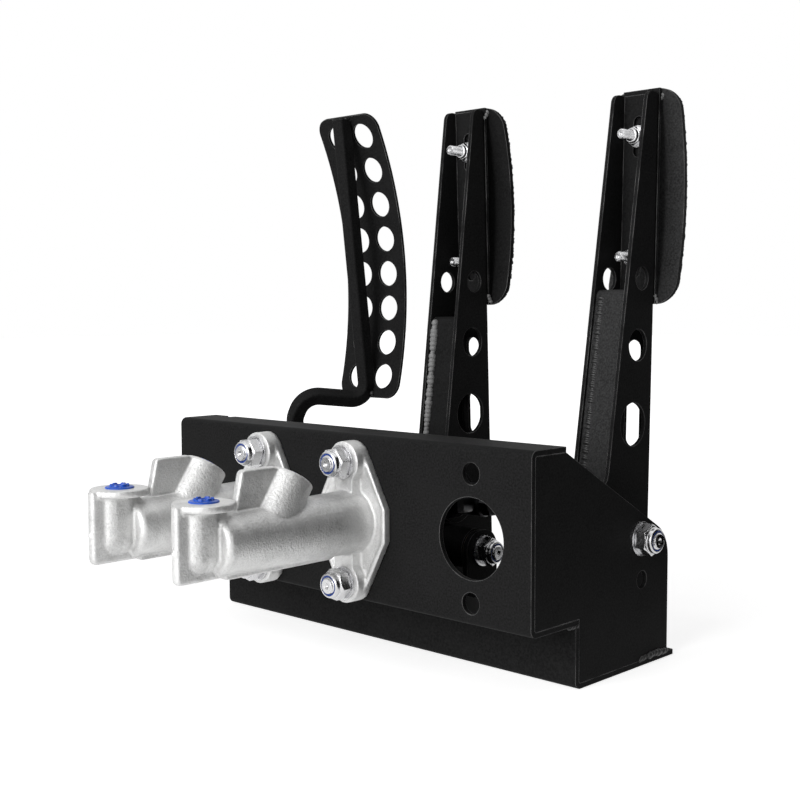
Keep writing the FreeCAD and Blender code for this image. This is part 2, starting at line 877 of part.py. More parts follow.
def folded_block(x, web, top):
    """Block as wide as the arm, with the channel's two folds rounded along the web."""
    side = arm_width / 2
    section = outline(
        [(x - side, 0, 0), (x + side, 0, 0), (x + side, web(0), arm_bend), (x - side, web(0), arm_bend)],
        lambda a, b: FreeCAD.Vector(a, back(b), 0),
    )
    return Part.Face(section).extrude(FreeCAD.Vector(0, web(top + arm_width) - web(0), top + arm_width))


def channel(x, profile, web, web_bottom, top, front_edge):
    """Folded channel: two side plates and the web on the driver's side."""
    outer = slab(profile, on_side(x - arm_width / 2), along_x(arm_width))
    outer = outer.common(folded_block(x, web, top))
    past = arm_width
    hollow = slab(
        [
            (web(top + past) - arm_sheet, top + past, 0),
            (web(web_bottom) - arm_sheet, web_bottom, arm_sheet),
            (web(web_bottom) + past, web_bottom - 1, 0),
            (web(web_bottom) + past, -past, 0),
            (-past, -past, 0),
            (-past, top + past, 0),
        ],
        on_side(x - arm_width / 2 + arm_sheet),
        along_x(arm_width - 2 * arm_sheet),
    )
    arm = outer.cut(hollow)
    for height, diameter in zip(arm_hole_heights, arm_hole_dias):
        centre = (web(height) + front_edge(height)) / 2
        arm = arm.cut(rod_x(diameter, x - arm_width, x + arm_width, centre, height))
    for height in pad_stud_heights:
        arm = arm.cut(obround(x, web(height), height, web_slot_width, web_slot_length))
    for height, length in zip(web_window_heights, web_window_lengths):
        arm = arm.cut(obround(x, web(height), height, web_window_width, length))
    return arm


def obround(x, distance, height, width, length):
    """Cutter for an upright slot through the web."""
    r = width / 2
    points = [
        (x - r, height - length / 2, r * end_round),
        (x + r, height - length / 2, r * end_round),
        (x + r, height + length / 2, r * end_round),
        (x - r, height + length / 2, r * end_round),
    ]
    return slab(points, on_front(distance - 3 * arm_sheet), along_y(6 * arm_sheet))


def brake_arm():
    arm = channel(brake_x, brake_profile(), brake_web, pivot_height + brake_web_rise, brake_top, brake_front)
    low = brake_x - arm_width
    high = brake_x + arm_width
    arm = arm.cut(rod_x(tube_dia, low, high, pivot_back, pivot_height))
    return clean(arm.cut(rod_x(bias_tube_dia, low, high, bias_back, cylinder_height)))


def clutch_arm():
    arm = channel(clutch_x, clutch_profile(), clutch_web, clutch_pivot_height, clutch_top, clutch_front)
    low = clutch_x - arm_width
    high = clutch_x + arm_width
    arm = arm.cut(rod_x(tube_dia, low, high, clutch_pivot_back, clutch_pivot_height))
    pin_hole = clutch_pin_dia + 2 * clutch_pin_fit
    return clean(arm.cut(rod_x(pin_hole, low, high, clutch_pivot_back, clutch_pin_height)))


def boxing_plate(x, front_edge, bottom, top):
    """Plate welded between the side plates to close the channel's lower half, its top bent in."""
    inner = arm_width - 2 * arm_sheet
    under = top - arm_sheet
    lip = front_edge(top) + boxing_inset + boxing_lip
    points = [
        (front_edge(bottom) + boxing_inset, bottom, 0),
        (front_edge(bottom) + boxing_inset + arm_sheet, bottom, 0),
        (front_edge(under) + boxing_inset + arm_sheet, under, arm_bend),
        (lip, under, 0),
        (lip, top, 0),
        (front_edge(top) + boxing_inset, top, arm_bend + arm_sheet),
    ]
    return slab(points, on_side(x - inner / 2), along_x(inner))


def clutch_pin():
    """Headed pin across the clutch arm's tail, where the cable's fork goes."""
    low = clutch_x - arm_width / 2
    high = clutch_x + arm_width / 2
    place = (clutch_pivot_back, clutch_pin_height)
    pin = rod_x(clutch_pin_head, low - clutch_pin_head_thick, low, *place)
    pin = pin.fuse(rod_x(clutch_pin_dia, low, high + clutch_pin_tail, *place))
    groove = high + clutch_groove_in
    neck = rod_x(clutch_neck_dia, groove, groove + clutch_clip + clip_fit, *place)
    cut = rod_x(clutch_pin_head, groove, groove + clutch_clip + clip_fit, *place)
    return clean(pin.cut(cut.cut(neck)))


def clutch_pin_clip():
    """Snap ring in the groove of the clutch pin."""
    start = clutch_x + arm_width / 2 + clutch_groove_in + clip_fit / 2
    place = (clutch_pivot_back, clutch_pin_height)
    inner = rod_x(clutch_neck_dia + clip_fit, start, start + clutch_clip, *place)
    return rod_x(clutch_clip_dia, start, start + clutch_clip, *place).cut(inner)


# Pads


def strap_face(web):
    """Distance of the strap's driver face at a height."""
    return lambda height: web(height) + strap_thick


def pad_strap(x, web):
    """Flat strap between the web and the pad, with holes for the studs."""
    top = pad_bottom + pad_height
    face = strap_face(web)
    points = [(line(height), height, 0) for line, height in ((web, pad_bottom), (face, pad_bottom), (face, top), (web, top))]
    strap = slab(points, on_side(x - arm_width / 2), along_x(arm_width))
    for height in pad_stud_heights:
        strap = strap.cut(rod_y(pad_washer_hole, web(height) - strap_thick, face(height) + strap_thick, x, height))
    return strap


def pad_frame(web):
    """Middle of the pad on the strap's driver face, and the strap's upward direction."""
    face = strap_face(web)
    middle = pad_bottom + pad_height / 2
    low = FreeCAD.Vector(0, back(face(pad_bottom)), pad_bottom)
    high = FreeCAD.Vector(0, back(face(pad_bottom + pad_height)), pad_bottom + pad_height)
    up = high - low
    up.normalize()
    return FreeCAD.Vector(0, back(face(middle)), middle), up


def pad_shell(x, web, inner_from, thickness):
    """Bowed plate of even thickness whose ends rest on the strap."""
    middle, up = pad_frame(web)
    out = up.cross(FreeCAD.Vector(-1, 0, 0))
    if out.y < 0:
        out = out * -1
    reach = pad_height / 2
    radius = (reach * reach + pad_bow * pad_bow) / (2 * pad_bow)
    centre = middle + out * (pad_bow - radius)
    swing = math.asin(reach / radius)

    def at(offset, angle):
        r = radius + inner_from + offset
        return centre + out * (r * math.cos(angle)) + up * (r * math.sin(angle)) + along_x(x - pad_width / 2)

    edges = [
        Part.Arc(at(0, -swing), at(0, 0), at(0, swing)).toShape(),
        Part.LineSegment(at(0, swing), at(thickness, swing)).toShape(),
        Part.Arc(at(thickness, swing), at(thickness, 0), at(thickness, -swing)).toShape(),
        Part.LineSegment(at(thickness, -swing), at(0, -swing)).toShape(),
    ]
    shell = Part.Face(Part.Wire(edges)).extrude(along_x(pad_width))
    corners = [
        (x - pad_width / 2, pad_bottom, pad_corner),
        (x + pad_width / 2, pad_bottom, pad_corner),
        (x + pad_width / 2, pad_bottom + pad_height, pad_corner),
        (x - pad_width / 2, pad_bottom + pad_height, pad_corner),
    ]
    cutter = slab(corners, on_front(web(pad_bottom) - pad_width), along_y(2 * pad_width))
    return shell.common(cutter)


def pad(x, web):
    """Bowed steel pad plate."""
    return pad_shell(x, web, 0, pad_plate)


def pad_studs(x, web):
    """Studs welded to the back of the pad plate, through the arm's slots."""
    plate = pad(x, web)
    shapes = []
    for height in pad_stud_heights:
        start = web(height) - arm_sheet - pad_stud_out
        end = web(height) + strap_thick + pad_bow + pad_plate
        stud = rod_y(stud_dia, start, end, x, height).cut(plate)
        shapes.append(min(stud.Solids, key=lambda solid: solid.CenterOfMass.y))
    return group(shapes)


def pad_cover(x, web):
    """Rough grip coat on the driver's face of the pad."""
    return pad_shell(x, web, pad_plate, pad_coat)


def pad_hardware(x, web):
    """Washers and lock nuts on the pad studs, inside the channel."""
    towards = FreeCAD.Vector(0, -1, 0)
    reach = pad_washer_dia / 2
    shapes = []
    for height in pad_stud_heights:
        nearest = min(web(height - reach), web(height + reach))
        seat = FreeCAD.Vector(x, back(nearest - arm_sheet - pad_seat_gap), height)
        face = seat + towards * pad_washer_thick
        nut = hexagon(pad_nut_flats, pad_nut_height * pad_hex_share, face, towards)
        nut = nut.fuse(rod(pad_nut_collar, pad_nut_height, face, towards))
        shapes.append(ring(pad_washer_dia, pad_washer_hole, pad_washer_thick, seat, towards))
        shapes.append(clean(nut.cut(rod(stud_dia, pad_nut_height, face, towards))))
    return group(shapes)


# Balance bar


def bias_middle():
    return (left_cylinder + right_cylinder) / 2


def bias_centre():
    """Middle of the balance bar's ball."""
    return FreeCAD.Vector(brake_x, back(bias_back), cylinder_height)


def bias_tube():
    low = brake_x - bias_tube_length / 2
    tube = rod_x(bias_tube_dia, low, low + bias_tube_length, bias_back, cylinder_height)
    return tube.cut(rod_x(bias_tube_bore, low, low + bias_tube_length, bias_back, cylinder_height))


def bias_bearing():
    """Spherical bearing ring that slides in the tube."""
    low = brake_x - bearing_width / 2
    outer = rod_x(bias_tube_bore - 2 * over, low, low + bearing_width, bias_back, cylinder_height)
    ball = Part.makeSphere(bearing_ball / 2 + running_fit, bias_centre(), along_x(1))
    return outer.cut(ball)


def balance_bar():
    """Threaded bar with the ball in its middle."""
    low = left_cylinder - jam_face() - jam_nut_thick - bar_ends
    high = right_cylinder + jam_face() + jam_nut_thick + bar_short_end
    bar = rod_x(bar_dia, low, high, bias_back, cylinder_height)
    return clean(bar.fuse(Part.makeSphere(bearing_ball / 2, bias_centre(), along_x(1))))


def jam_face():
    """From a trunnion's middle to the seat of the jam nut beside it."""
    return trunnion_width / 2 + jam_gap


def jam_nuts():
    """Nuts that set how far apart the trunnions stand on the bar."""
    shapes = []
    for x, way in ((left_cylinder, -1), (right_cylinder, 1)):
        face = x + way * jam_face()
        nut = hexagon(jam_nut_flats, jam_nut_thick, FreeCAD.Vector(face, back(bias_back), cylinder_height), along_x(way))
        low, high = sorted((face, face + way * jam_nut_thick))
        shapes.append(clean(nut.cut(rod_x(bar_dia, low, high, bias_back, cylinder_height))))
    return group(shapes)


def trunnion(x):
    """Cross barrel on the balance bar, with a neck for the pushrod."""
    barrel = rod_x(trunnion_dia, x - trunnion_width / 2, x + trunnion_width / 2, bias_back, cylinder_height)
    ends = [e for e in barrel.Edges if e.Closed]
    barrel = barrel.makeChamfer(0.8, ends)
    neck_front = bias_back - trunnion_dia / 2 - trunnion_neck_length
    neck = rod_y(trunnion_neck, neck_front, bias_back, x, cylinder_height)
    body = barrel.fuse(neck)
    bore = rod_x(bar_dia + 2 * trunnion_play, x - trunnion_width, x + trunnion_width, bias_back, cylinder_height)
    body = body.cut(bore)
    return clean(body.cut(rod_y(pushrod_dia, neck_front - 1, bias_back - trunnion_dia / 2 + 1, x, cylinder_height)))


def pushrod_front():
    return sheet - mouth_depth - piston_length / 2


def pushrod(x):
    """Threaded rod from the trunnion's neck to its ball in the piston."""
    rear = bias_back - trunnion_dia / 2 + 1
    stem = rod_y(pushrod_dia, pushrod_front(), rear, x, cylinder_height)
    ball = Part.makeSphere(pushrod_ball / 2, FreeCAD.Vector(x, back(pushrod_front()), cylinder_height), along_y(1))
    return clean(stem.fuse(ball))


def pushrod_nut(x):
    neck_front = bias_back - trunnion_dia / 2 - trunnion_neck_length
    start = FreeCAD.Vector(x, back(neck_front), cylinder_height)
    nut = hexagon(locknut_flats, locknut_thick, start, FreeCAD.Vector(0, -1, 0))
    return clean(nut.cut(rod_y(pushrod_dia, neck_front - locknut_thick - 1, neck_front + 1, x, cylinder_height)))


def piston(x):
    """Piston with two seal grooves and the socket for the pushrod's ball."""
    rear = sheet - mouth_depth
    body = rod_y(bore_dia - 2 * piston_fit, rear - piston_length, rear, x, cylinder_height)
    for share in seal_places:
        start = FreeCAD.Vector(x, back(rear - piston_length * share), cylinder_height)
        groove = ring(bore_dia + 1, bore_dia - 2 * seal_depth, seal_width, start, FreeCAD.Vector(0, 1, 0))
        body = body.cut(groove)
    ball = Part.makeSphere(pushrod_ball / 2, FreeCAD.Vector(x, back(pushrod_front()), cylinder_height), along_y(1))
    mouth = rod_y(pushrod_ball, pushrod_front(), rear + 1, x, cylinder_height)
    return clean(body.cut(ball).cut(mouth))


# Throttle


def throttle_point(radius, angle):
    """Distance and height on the foot plate's arc."""
    turn = math.radians(angle)
    return (
        throttle_centre[0] + radius * math.cos(turn),
        throttle_centre[1] + radius * math.sin(turn),
    )


def throttle_shell():
    """Curved foot plate before its holes are cut."""
    place = on_side(throttle_x - throttle_width / 2)
    inner = throttle_radius
    outer = throttle_radius + throttle_plate
    middle = (throttle_top_angle + throttle_bottom_angle) / 2

    def at(radius, angle):
        return place(*throttle_point(radius, angle))

    edges = [
        Part.Arc(at(inner, throttle_bottom_angle), at(inner, middle), at(inner, throttle_top_angle)).toShape(),
        Part.LineSegment(at(inner, throttle_top_angle), at(outer, throttle_top_angle)).toShape(),
        Part.Arc(at(outer, throttle_top_angle), at(outer, middle), at(outer, throttle_bottom_angle)).toShape(),
        Part.LineSegment(at(outer, throttle_bottom_angle), at(inner, throttle_bottom_angle)).toShape(),
    ]
    plate = Part.Face(Part.Wire(edges)).extrude(along_x(throttle_width))
    corners = [edge for edge in plate.Edges if abs(edge.Length - throttle_plate) < over]
    return plate.makeFillet(throttle_corner, corners)


def throttle_face():
    """Curved foot plate with two columns of holes."""
    plate = throttle_shell()
    for i in range(throttle_holes):
        angle = throttle_hole_top_angle - i * throttle_hole_step
        turn = math.radians(angle)
        direction = FreeCAD.Vector(0, math.cos(turn), math.sin(turn))
        distance, height = throttle_point(throttle_radius - throttle_plate, angle)
        for side in (-1, 1):
            x = throttle_x + side * throttle_hole_columns / 2
            start = FreeCAD.Vector(x, back(distance), height)
            plate = plate.cut(rod(throttle_hole_dia, 3 * throttle_plate, start, direction))
    return plate


def bar_chord():
    """Straight bar behind the foot plate: distance and height near its top, and its slope."""
    top_angle = math.degrees(math.asin((bar_top - bar_top_in - throttle_centre[1]) / throttle_radius))
    top = throttle_point(throttle_radius, top_angle)
    low = throttle_point(throttle_radius, throttle_bottom_angle + bar_low_in)
    slope = (low[0] - top[0]) / (top[1] - low[1])
    offset = (bar_side / 2 + bar_seat_gap) * math.sqrt(1 + slope * slope)
    return top[0] - offset, top[1], slope


def bar_path():
    """Centre line of the bent bar: chord, jog towards the box's end, then down to the pivot."""
    top_back, top_height, slope = bar_chord()
    ankle = bar_ankle_in - cheek_inside

    def chord(height):
        return top_back + (top_height - height) * slope

    return [
        (bar_x, chord(bar_top), bar_top, 0),
        (bar_x, chord(bar_knee_height), bar_knee_height, bar_knee_radius),
        (bar_foot_in - cheek_inside,) + bar_foot + (bar_foot_radius,),
        (ankle,) + bar_ankle + (bar_ankle_radius,),
        (ankle, pivot_back, pivot_height, 0),
    ]


def rounded_path(points):
    """Open wire through the corners, each rounded by a tangent arc."""
    places = [FreeCAD.Vector(x, back(d), z) for x, d, z, _ in points]
    edges = []
    cursor = places[0]
    for i in range(1, len(places) - 1):
        here = places[i]
        before = places[i - 1] - here
        after = places[i + 1] - here
        before.normalize()
        after.normalize()
        radius = points[i][3]
        half_angle = before.getAngle(after) / 2
        reach = radius / math.tan(half_angle)
        inward = before + after
        inward.normalize()
        centre = here + inward * (radius / math.sin(half_angle))
        start = here + before * reach
        end = here + after * reach
        edges.append(Part.LineSegment(cursor, start).toShape())
        edges.append(Part.Arc(start, centre - inward * radius, end).toShape())
        cursor = end
    edges.append(Part.LineSegment(cursor, places[-1]).toShape())
    return Part.Wire(edges)


def throttle_bar():
    """Square bar with rounded edges, swept along its bends and cut to seat on the pivot tube."""
    points = bar_path()
    path = rounded_path(points)
    start = FreeCAD.Vector(points[0][0], back(points[0][1]), points[0][2])
    following = FreeCAD.Vector(points[1][0], back(points[1][1]), points[1][2])
    direction = following - start
    direction.normalize()
    r = bar_side / 2
    corners = [(-r, -r, bar_edge), (r, -r, bar_edge), (r, r, bar_edge), (-r, r, bar_edge)]
    section = outline(corners, lambda a, b: FreeCAD.Vector(a, b, 0))
    turn = FreeCAD.Rotation(FreeCAD.Vector(1, 0, 0), direction.cross(FreeCAD.Vector(1, 0, 0)), direction, "ZXY")
    section.Placement = FreeCAD.Placement(start, turn)
    bar = path.makePipeShell([section], True, False).cut(throttle_shell())
    return clean(bar.cut(rod_x(tube_dia, -half, 0, pivot_back, pivot_height)))


def throttle_lever():
    """Lever under the throttle's pivot tube that pulls the cable."""
    turn = math.radians(lever_angle)
    lever_length = pivot_height - lever_clear
    eye = (pivot_back - lever_length * math.sin(turn), pivot_height - lever_length * math.cos(turn))
    across = (math.cos(turn), -math.sin(turn))
    wide = tube_dia / 2
    narrow = lever_eye * 0.95
    profile = [
        (pivot_back + across[0] * wide, pivot_height + across[1] * wide, 0),
        (eye[0] + across[0] * narrow, eye[1] + across[1] * narrow, 0),
        (eye[0] - across[0] * narrow, eye[1] - across[1] * narrow, 0),
        (pivot_back - across[0] * wide, pivot_height - across[1] * wide, 0),
    ]
    plate = slab(profile, on_side(lever_x), along_x(lever_thick))
    plate = plate.fuse(rod_x(2 * narrow, lever_x, lever_x + lever_thick, *eye))
    plate = plate.cut(rod_x(tube_dia, lever_x - 1, lever_x + lever_thick + 1, pivot_back, pivot_height))
    return clean(plate.cut(rod_x(lever_eye, lever_x - 1, lever_x + lever_thick + 1, *eye)))


def build_parts():
    cylinder_bolts, cylinder_washers, cylinder_nuts, cylinder_nut_rings = cylinder_hardware()
    pivot_bolts, pivot_sleeves, pivot_washers, pivot_nuts, pivot_nut_rings = pivot_hardware()
    carriers = pivots()
    brake_left, brake_right = carriers["brake"][2:4]
    brake_boxing_bottom = cylinder_height + brake_boxing_rise
    clutch_boxing_bottom = clutch_pivot_height + clutch_boxing_rise
    return {
        "front_panel": front_panel(),
        "base_panel": base_panel(),
        "left_cheek": cheek(-1),
        "right_cheek": cheek(1),
        "brake_lug_left": lug(brake_left - lug_sheet, pivot_back, pivot_height),
        "brake_lug_right": lug(brake_right, pivot_back, pivot_height),
        "clutch_lug": lug(clutch_lug_x, clutch_pivot_back, clutch_pivot_height),
        "throttle_lug": lug(throttle_lug_x - lug_sheet, pivot_back, pivot_height),
        "pivot_bolts": pivot_bolts,
        "pivot_sleeves": pivot_sleeves,
        "pivot_washers": pivot_washers,
        "pivot_nuts": pivot_nuts,
        "pivot_nut_rings": pivot_nut_rings,
        "cylinder_left": casting(left_cylinder),
        "cylinder_right": casting(right_cylinder),
        "cylinder_bolts": cylinder_bolts,
        "cylinder_washers": cylinder_washers,
        "cylinder_nuts": cylinder_nuts,
        "cylinder_nut_rings": cylinder_nut_rings,
        "outlet_plugs": port_plugs("outlet"),
        "inlet_plugs": port_plugs("inlet"),
        "piston_stop_rings": stop_rings(),
        "dust_boots": boots(),
        "piston_left": piston(left_cylinder),
        "piston_right": piston(right_cylinder),
        "pushrod_left": pushrod(left_cylinder),
        "pushrod_right": pushrod(right_cylinder),
        "pushrod_nut_left": pushrod_nut(left_cylinder),
        "pushrod_nut_right": pushrod_nut(right_cylinder),
        "trunnion_left": trunnion(left_cylinder),
        "trunnion_right": trunnion(right_cylinder),
        "brake_arm": brake_arm(),
        "brake_boxing_plate": boxing_plate(brake_x, brake_front, brake_boxing_bottom, brake_boxing_top),
        "brake_pivot_tube": pivot_tube("brake"),
        "brake_bushes": bushes("brake"),
        "bias_tube": bias_tube(),
        "bias_bearing": bias_bearing(),
        "balance_bar": balance_bar(),
        "jam_nuts": jam_nuts(),
        "brake_pad_strap": pad_strap(brake_x, brake_web),
        "brake_pad": pad(brake_x, brake_web),
        "brake_pad_grip": pad_cover(brake_x, brake_web),
        "brake_pad_studs": pad_studs(brake_x, brake_web),
        "brake_pad_nuts": pad_hardware(brake_x, brake_web),
        "clutch_arm": clutch_arm(),
        "clutch_boxing_plate": boxing_plate(clutch_x, clutch_front, clutch_boxing_bottom, clutch_boxing_top),
        "clutch_pivot_tube": pivot_tube("clutch"),
        "clutch_bushes": bushes("clutch"),
        "clutch_pin": clutch_pin(),
        "clutch_pin_clip": clutch_pin_clip(),
        "clutch_pad_strap": pad_strap(clutch_x, clutch_web),
        "clutch_pad": pad(clutch_x, clutch_web),
        "clutch_pad_grip": pad_cover(clutch_x, clutch_web),
        "clutch_pad_studs": pad_studs(clutch_x, clutch_web),
        "clutch_pad_nuts": pad_hardware(clutch_x, clutch_web),
        "throttle_face": throttle_face(),
        "throttle_bar": throttle_bar(),
        "throttle_pivot_tube": pivot_tube("throttle"),
        "throttle_bushes": bushes("throttle"),
        "throttle_lever": throttle_lever(),
    }


def main():
    os.makedirs("parts", exist_ok=True)
    for name, shape in build_parts().items():
        shape.exportStep("parts/" + name + ".step")
        print(name, len(shape.Solids), round(shape.Volume, 1), shape.isValid())


main()
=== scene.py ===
"""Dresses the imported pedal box: finishes, fasteners, castings, weld beads, grip grit and the studio."""

import json
import math

import bmesh
import bpy
from mathutils import Matrix, Vector


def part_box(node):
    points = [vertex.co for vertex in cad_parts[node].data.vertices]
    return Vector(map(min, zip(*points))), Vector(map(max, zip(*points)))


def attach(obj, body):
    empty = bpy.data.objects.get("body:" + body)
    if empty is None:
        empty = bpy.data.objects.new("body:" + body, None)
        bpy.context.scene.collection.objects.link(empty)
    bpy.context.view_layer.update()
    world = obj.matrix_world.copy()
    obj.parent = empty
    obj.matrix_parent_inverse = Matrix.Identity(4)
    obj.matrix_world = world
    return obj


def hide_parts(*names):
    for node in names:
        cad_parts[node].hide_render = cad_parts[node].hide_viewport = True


bl_info = {
    "name": "Pedal box finishes",
    "version": (1, 0, 0),
    "blender": (4, 5, 0),
    "location": "3D View > Sidebar > Pedal Box",
    "description": "Dresses a floor mounted pedal box with its finishes, fasteners and studio",
    "category": "Object",
}

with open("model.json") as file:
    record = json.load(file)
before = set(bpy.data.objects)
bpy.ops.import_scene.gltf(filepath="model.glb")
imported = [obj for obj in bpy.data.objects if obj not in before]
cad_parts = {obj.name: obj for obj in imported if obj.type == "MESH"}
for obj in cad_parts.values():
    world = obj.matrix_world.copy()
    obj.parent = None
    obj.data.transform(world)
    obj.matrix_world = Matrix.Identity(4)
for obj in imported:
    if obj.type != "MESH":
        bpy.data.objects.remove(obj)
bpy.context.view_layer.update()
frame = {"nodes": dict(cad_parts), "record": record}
mm = 0.001

# Camera, fitted to the corners of the housing
camera_place = (0.43633, -0.48145, 0.16786)
camera_yaw = 43.69
camera_pitch = 4.22
camera_roll = -0.18
camera_lens = 56.15
camera_sensor = 36.0

# M8 hardware
nut_flats = 13 * mm
nut_hex_height = 6.0 * mm
nut_height = 8.6 * mm
nut_bore = 4.0 * mm
collar_radius = 5.9 * mm
bolt_head = 5.3 * mm
bolt_face = 5.8 * mm
thread_radius = 3.98 * mm

# M5 hardware on the pads
small_flats = 8 * mm
small_hex_height = 4.2 * mm
small_bore = 2.5 * mm
small_collar = 3.65 * mm
washer_bore = 2.65 * mm
washer_radius = 5.5 * mm

# Cylinders, plugs and rods
bore_gap = 0.05 * mm
bore_depth = 34 * mm
plug_shank = 7.0 * mm
rod_neck = 6 * mm
bar_radius = 4.74 * mm

# Just under the base
floor_level = -0.2 * mm


# Settings


class FinishSettings(bpy.types.PropertyGroup):
    """Colours of the finishes."""

    powder_black: bpy.props.FloatVectorProperty(
        name="Powder coat", description="Satin black of the folded steel", subtype="COLOR", size=3,
        default=(0.0085, 0.0085, 0.0086), min=0, max=1)
    # Painted highlight: the tone that the edge mask paints along sheet edges.
    powder_edge: bpy.props.FloatVectorProperty(
        name="Powder coat edge", description="Lighter tone along sheet edges", subtype="COLOR", size=3,
        default=(0.3, 0.3, 0.3), min=0, max=1)
    grip_black: bpy.props.FloatVectorProperty(
        name="Grip grit", description="Coarse black grit on the pads", subtype="COLOR", size=3,
        default=(0.009, 0.009, 0.0092), min=0, max=1)
    cast_grey: bpy.props.FloatVectorProperty(
        name="Cast aluminium", description="As-cast aluminium", subtype="COLOR", size=3,
        default=(0.77, 0.77, 0.765), min=0, max=1)
    zinc_bright: bpy.props.FloatVectorProperty(
        name="Zinc plate", description="Bright zinc on the fasteners", subtype="COLOR", size=3,
        default=(0.66, 0.66, 0.67), min=0, max=1)
    steel_bare: bpy.props.FloatVectorProperty(
        name="Turned steel", description="Bare turned steel", subtype="COLOR", size=3,
        default=(0.45, 0.45, 0.46), min=0, max=1)
    # Dark tone of the balance bar's parts and the pushrods, in place of their zinc slot.
    steel_black: bpy.props.FloatVectorProperty(
        name="Black steel", description="Black oxide on the balance bar's parts", subtype="COLOR", size=3,
        default=(0.03, 0.03, 0.032), min=0, max=1)
    bronze: bpy.props.FloatVectorProperty(
        name="Bronze", description="Sintered bronze of the bushes", subtype="COLOR", size=3,
        default=(0.52, 0.34, 0.16), min=0, max=1)
    ring_blue: bpy.props.FloatVectorProperty(
        name="Lock ring", description="Plastic ring of the lock nuts", subtype="COLOR", size=3,
        default=(0.012, 0.06, 0.34), min=0, max=1)
    plug_blue: bpy.props.FloatVectorProperty(
        name="Port plug", description="Plastic of the port plugs", subtype="COLOR", size=3,
        default=(0.004, 0.095, 0.6), min=0, max=1)
    # Light grey tone of the weld beads on the brake arm and the pad straps.
    weld_grey: bpy.props.FloatVectorProperty(
        name="Weld", description="Light tone of the bare weld bead", subtype="COLOR", size=3,
        default=(0.32, 0.32, 0.32), min=0, max=1)
    rubber_black: bpy.props.FloatVectorProperty(
        name="Rubber", description="Dust boots", subtype="COLOR", size=3,
        default=(0.015, 0.015, 0.015), min=0, max=1)


class DetailSettings(bpy.types.PropertyGroup):
    """Sizes of the modelled detail."""

    casting_grid: bpy.props.FloatProperty(
        name="Casting grid", description="Cell size of the castings' skin", subtype="DISTANCE", unit="LENGTH",
        default=0.0006, min=0.0004, max=0.002)
    casting_softness: bpy.props.IntProperty(
        name="Casting softness", description="Smoothing passes that round the castings' corners",
        default=2, min=0, max=20)
    grit_grid: bpy.props.FloatProperty(
        name="Grit grid", description="Cell size of the grip's skin", subtype="DISTANCE", unit="LENGTH",
        default=0.00045, min=0.0003, max=0.002)
    grit_depth: bpy.props.FloatProperty(
        name="Grit depth", description="Depth of the grip's grit", subtype="DISTANCE", unit="LENGTH",
        default=0.0009, min=0, max=0.001)
    grit_size: bpy.props.FloatProperty(
        name="Grit size", description="Width of one grain", subtype="DISTANCE", unit="LENGTH",
        default=0.0019, min=0.0002, max=0.01)
    bead_pitch: bpy.props.FloatProperty(
        name="Bead pitch", description="Distance between weld ripples", subtype="DISTANCE", unit="LENGTH",
        default=0.0036, min=0.0005, max=0.01)
    thread_eight: bpy.props.FloatProperty(
        name="M8 pitch", description="Thread pitch of the large hardware", subtype="DISTANCE", unit="LENGTH",
        default=0.00125, min=0.0002, max=0.005)
    thread_five: bpy.props.FloatProperty(
        name="M5 pitch", description="Thread pitch of the pad studs", subtype="DISTANCE", unit="LENGTH",
        default=0.0008, min=0.0002, max=0.005)


class StageSettings(bpy.types.PropertyGroup):
    """Studio floor and light."""

    floor_tone: bpy.props.FloatVectorProperty(
        name="Floor", description="Pale floor", subtype="COLOR", size=3,
        default=(0.86, 0.86, 0.86), min=0, max=1)
    key_power: bpy.props.FloatProperty(
        name="Key light", description="Power of the large key lamp", unit="POWER", default=23.5, min=0)
    fill_power: bpy.props.FloatProperty(
        name="Fill light", description="Power of the fill lamp", unit="POWER", default=0.5, min=0)
    top_power: bpy.props.FloatProperty(
        name="Top light", description="Power of the overhead lamp", unit="POWER", default=2.6, min=0)
    world_level: bpy.props.FloatProperty(
        name="World", description="Level of the soft surrounding light", default=0.18, min=0)
    floor_white: bpy.props.FloatProperty(
        name="Floor white", description="Share of white that the floor shows by itself",
        default=0.72, min=0, max=1)


# Node helpers


class Nodes:
    """Adds and links nodes in one tree."""

    def __init__(self, tree):
        self.tree = tree

    def add(self, kind, values=None, **settings):
        node = self.tree.nodes.new(kind)
        for key, value in settings.items():
            setattr(node, key, value)
        for key, value in (values or {}).items():
            self.feed(value, node.inputs[key])
        return node

    def feed(self, value, socket):
        if isinstance(value, bpy.types.NodeSocket):
            self.tree.links.new(value, socket)
        else:
            socket.default_value = value

    def math(self, operation, first, second=0.0, clamp=False):
        node = self.add("ShaderNodeMath", {0: first, 1: second}, operation=operation, use_clamp=clamp)
        return node.outputs[0]

    def spread(self, value, low, high, to_low=0.0, to_high=1.0):
        """Maps a value from one range to another and clamps it."""
        node = self.add("ShaderNodeMapRange", {"Value": value, "From Min": low, "From Max": high,
                                               "To Min": to_low, "To Max": to_high})
        return node.outputs["Result"]

    def blend(self, factor, first, second):
        node = self.add("ShaderNodeMix", data_type="RGBA")
        for value, name in ((factor, "Factor"), (first, "A"), (second, "B")):
            socket = next(s for s in node.inputs if s.name == name and s.enabled)
            self.feed(value, socket)
        return next(s for s in node.outputs if s.enabled)

    def noise(self, point, scale, **values):
        values = {"Vector": point, "Scale": scale, **values}
        return self.add("ShaderNodeTexNoise", values).outputs["Fac"]

    def luck(self, low, high, seed):
        """Random number between two values, one for each copy."""
        node = self.add("FunctionNodeRandomValue", data_type="FLOAT")
        for value, name in ((low, "Min"), (high, "Max")):
            self.feed(value, next(s for s in node.inputs if s.enabled and s.name == name))
        self.feed(seed, node.inputs["Seed"])
        return next(s for s in node.outputs if s.enabled)

    def white_rays(self):
        """1 for the rays that see the white surroundings, else 0."""
        ray = self.add("ShaderNodeLightPath").outputs
        mirrored = self.math("ADD", ray["Is Glossy Ray"], ray["Is Transmission Ray"])
        return self.math("ADD", ray["Is Camera Ray"], mirrored, clamp=True)


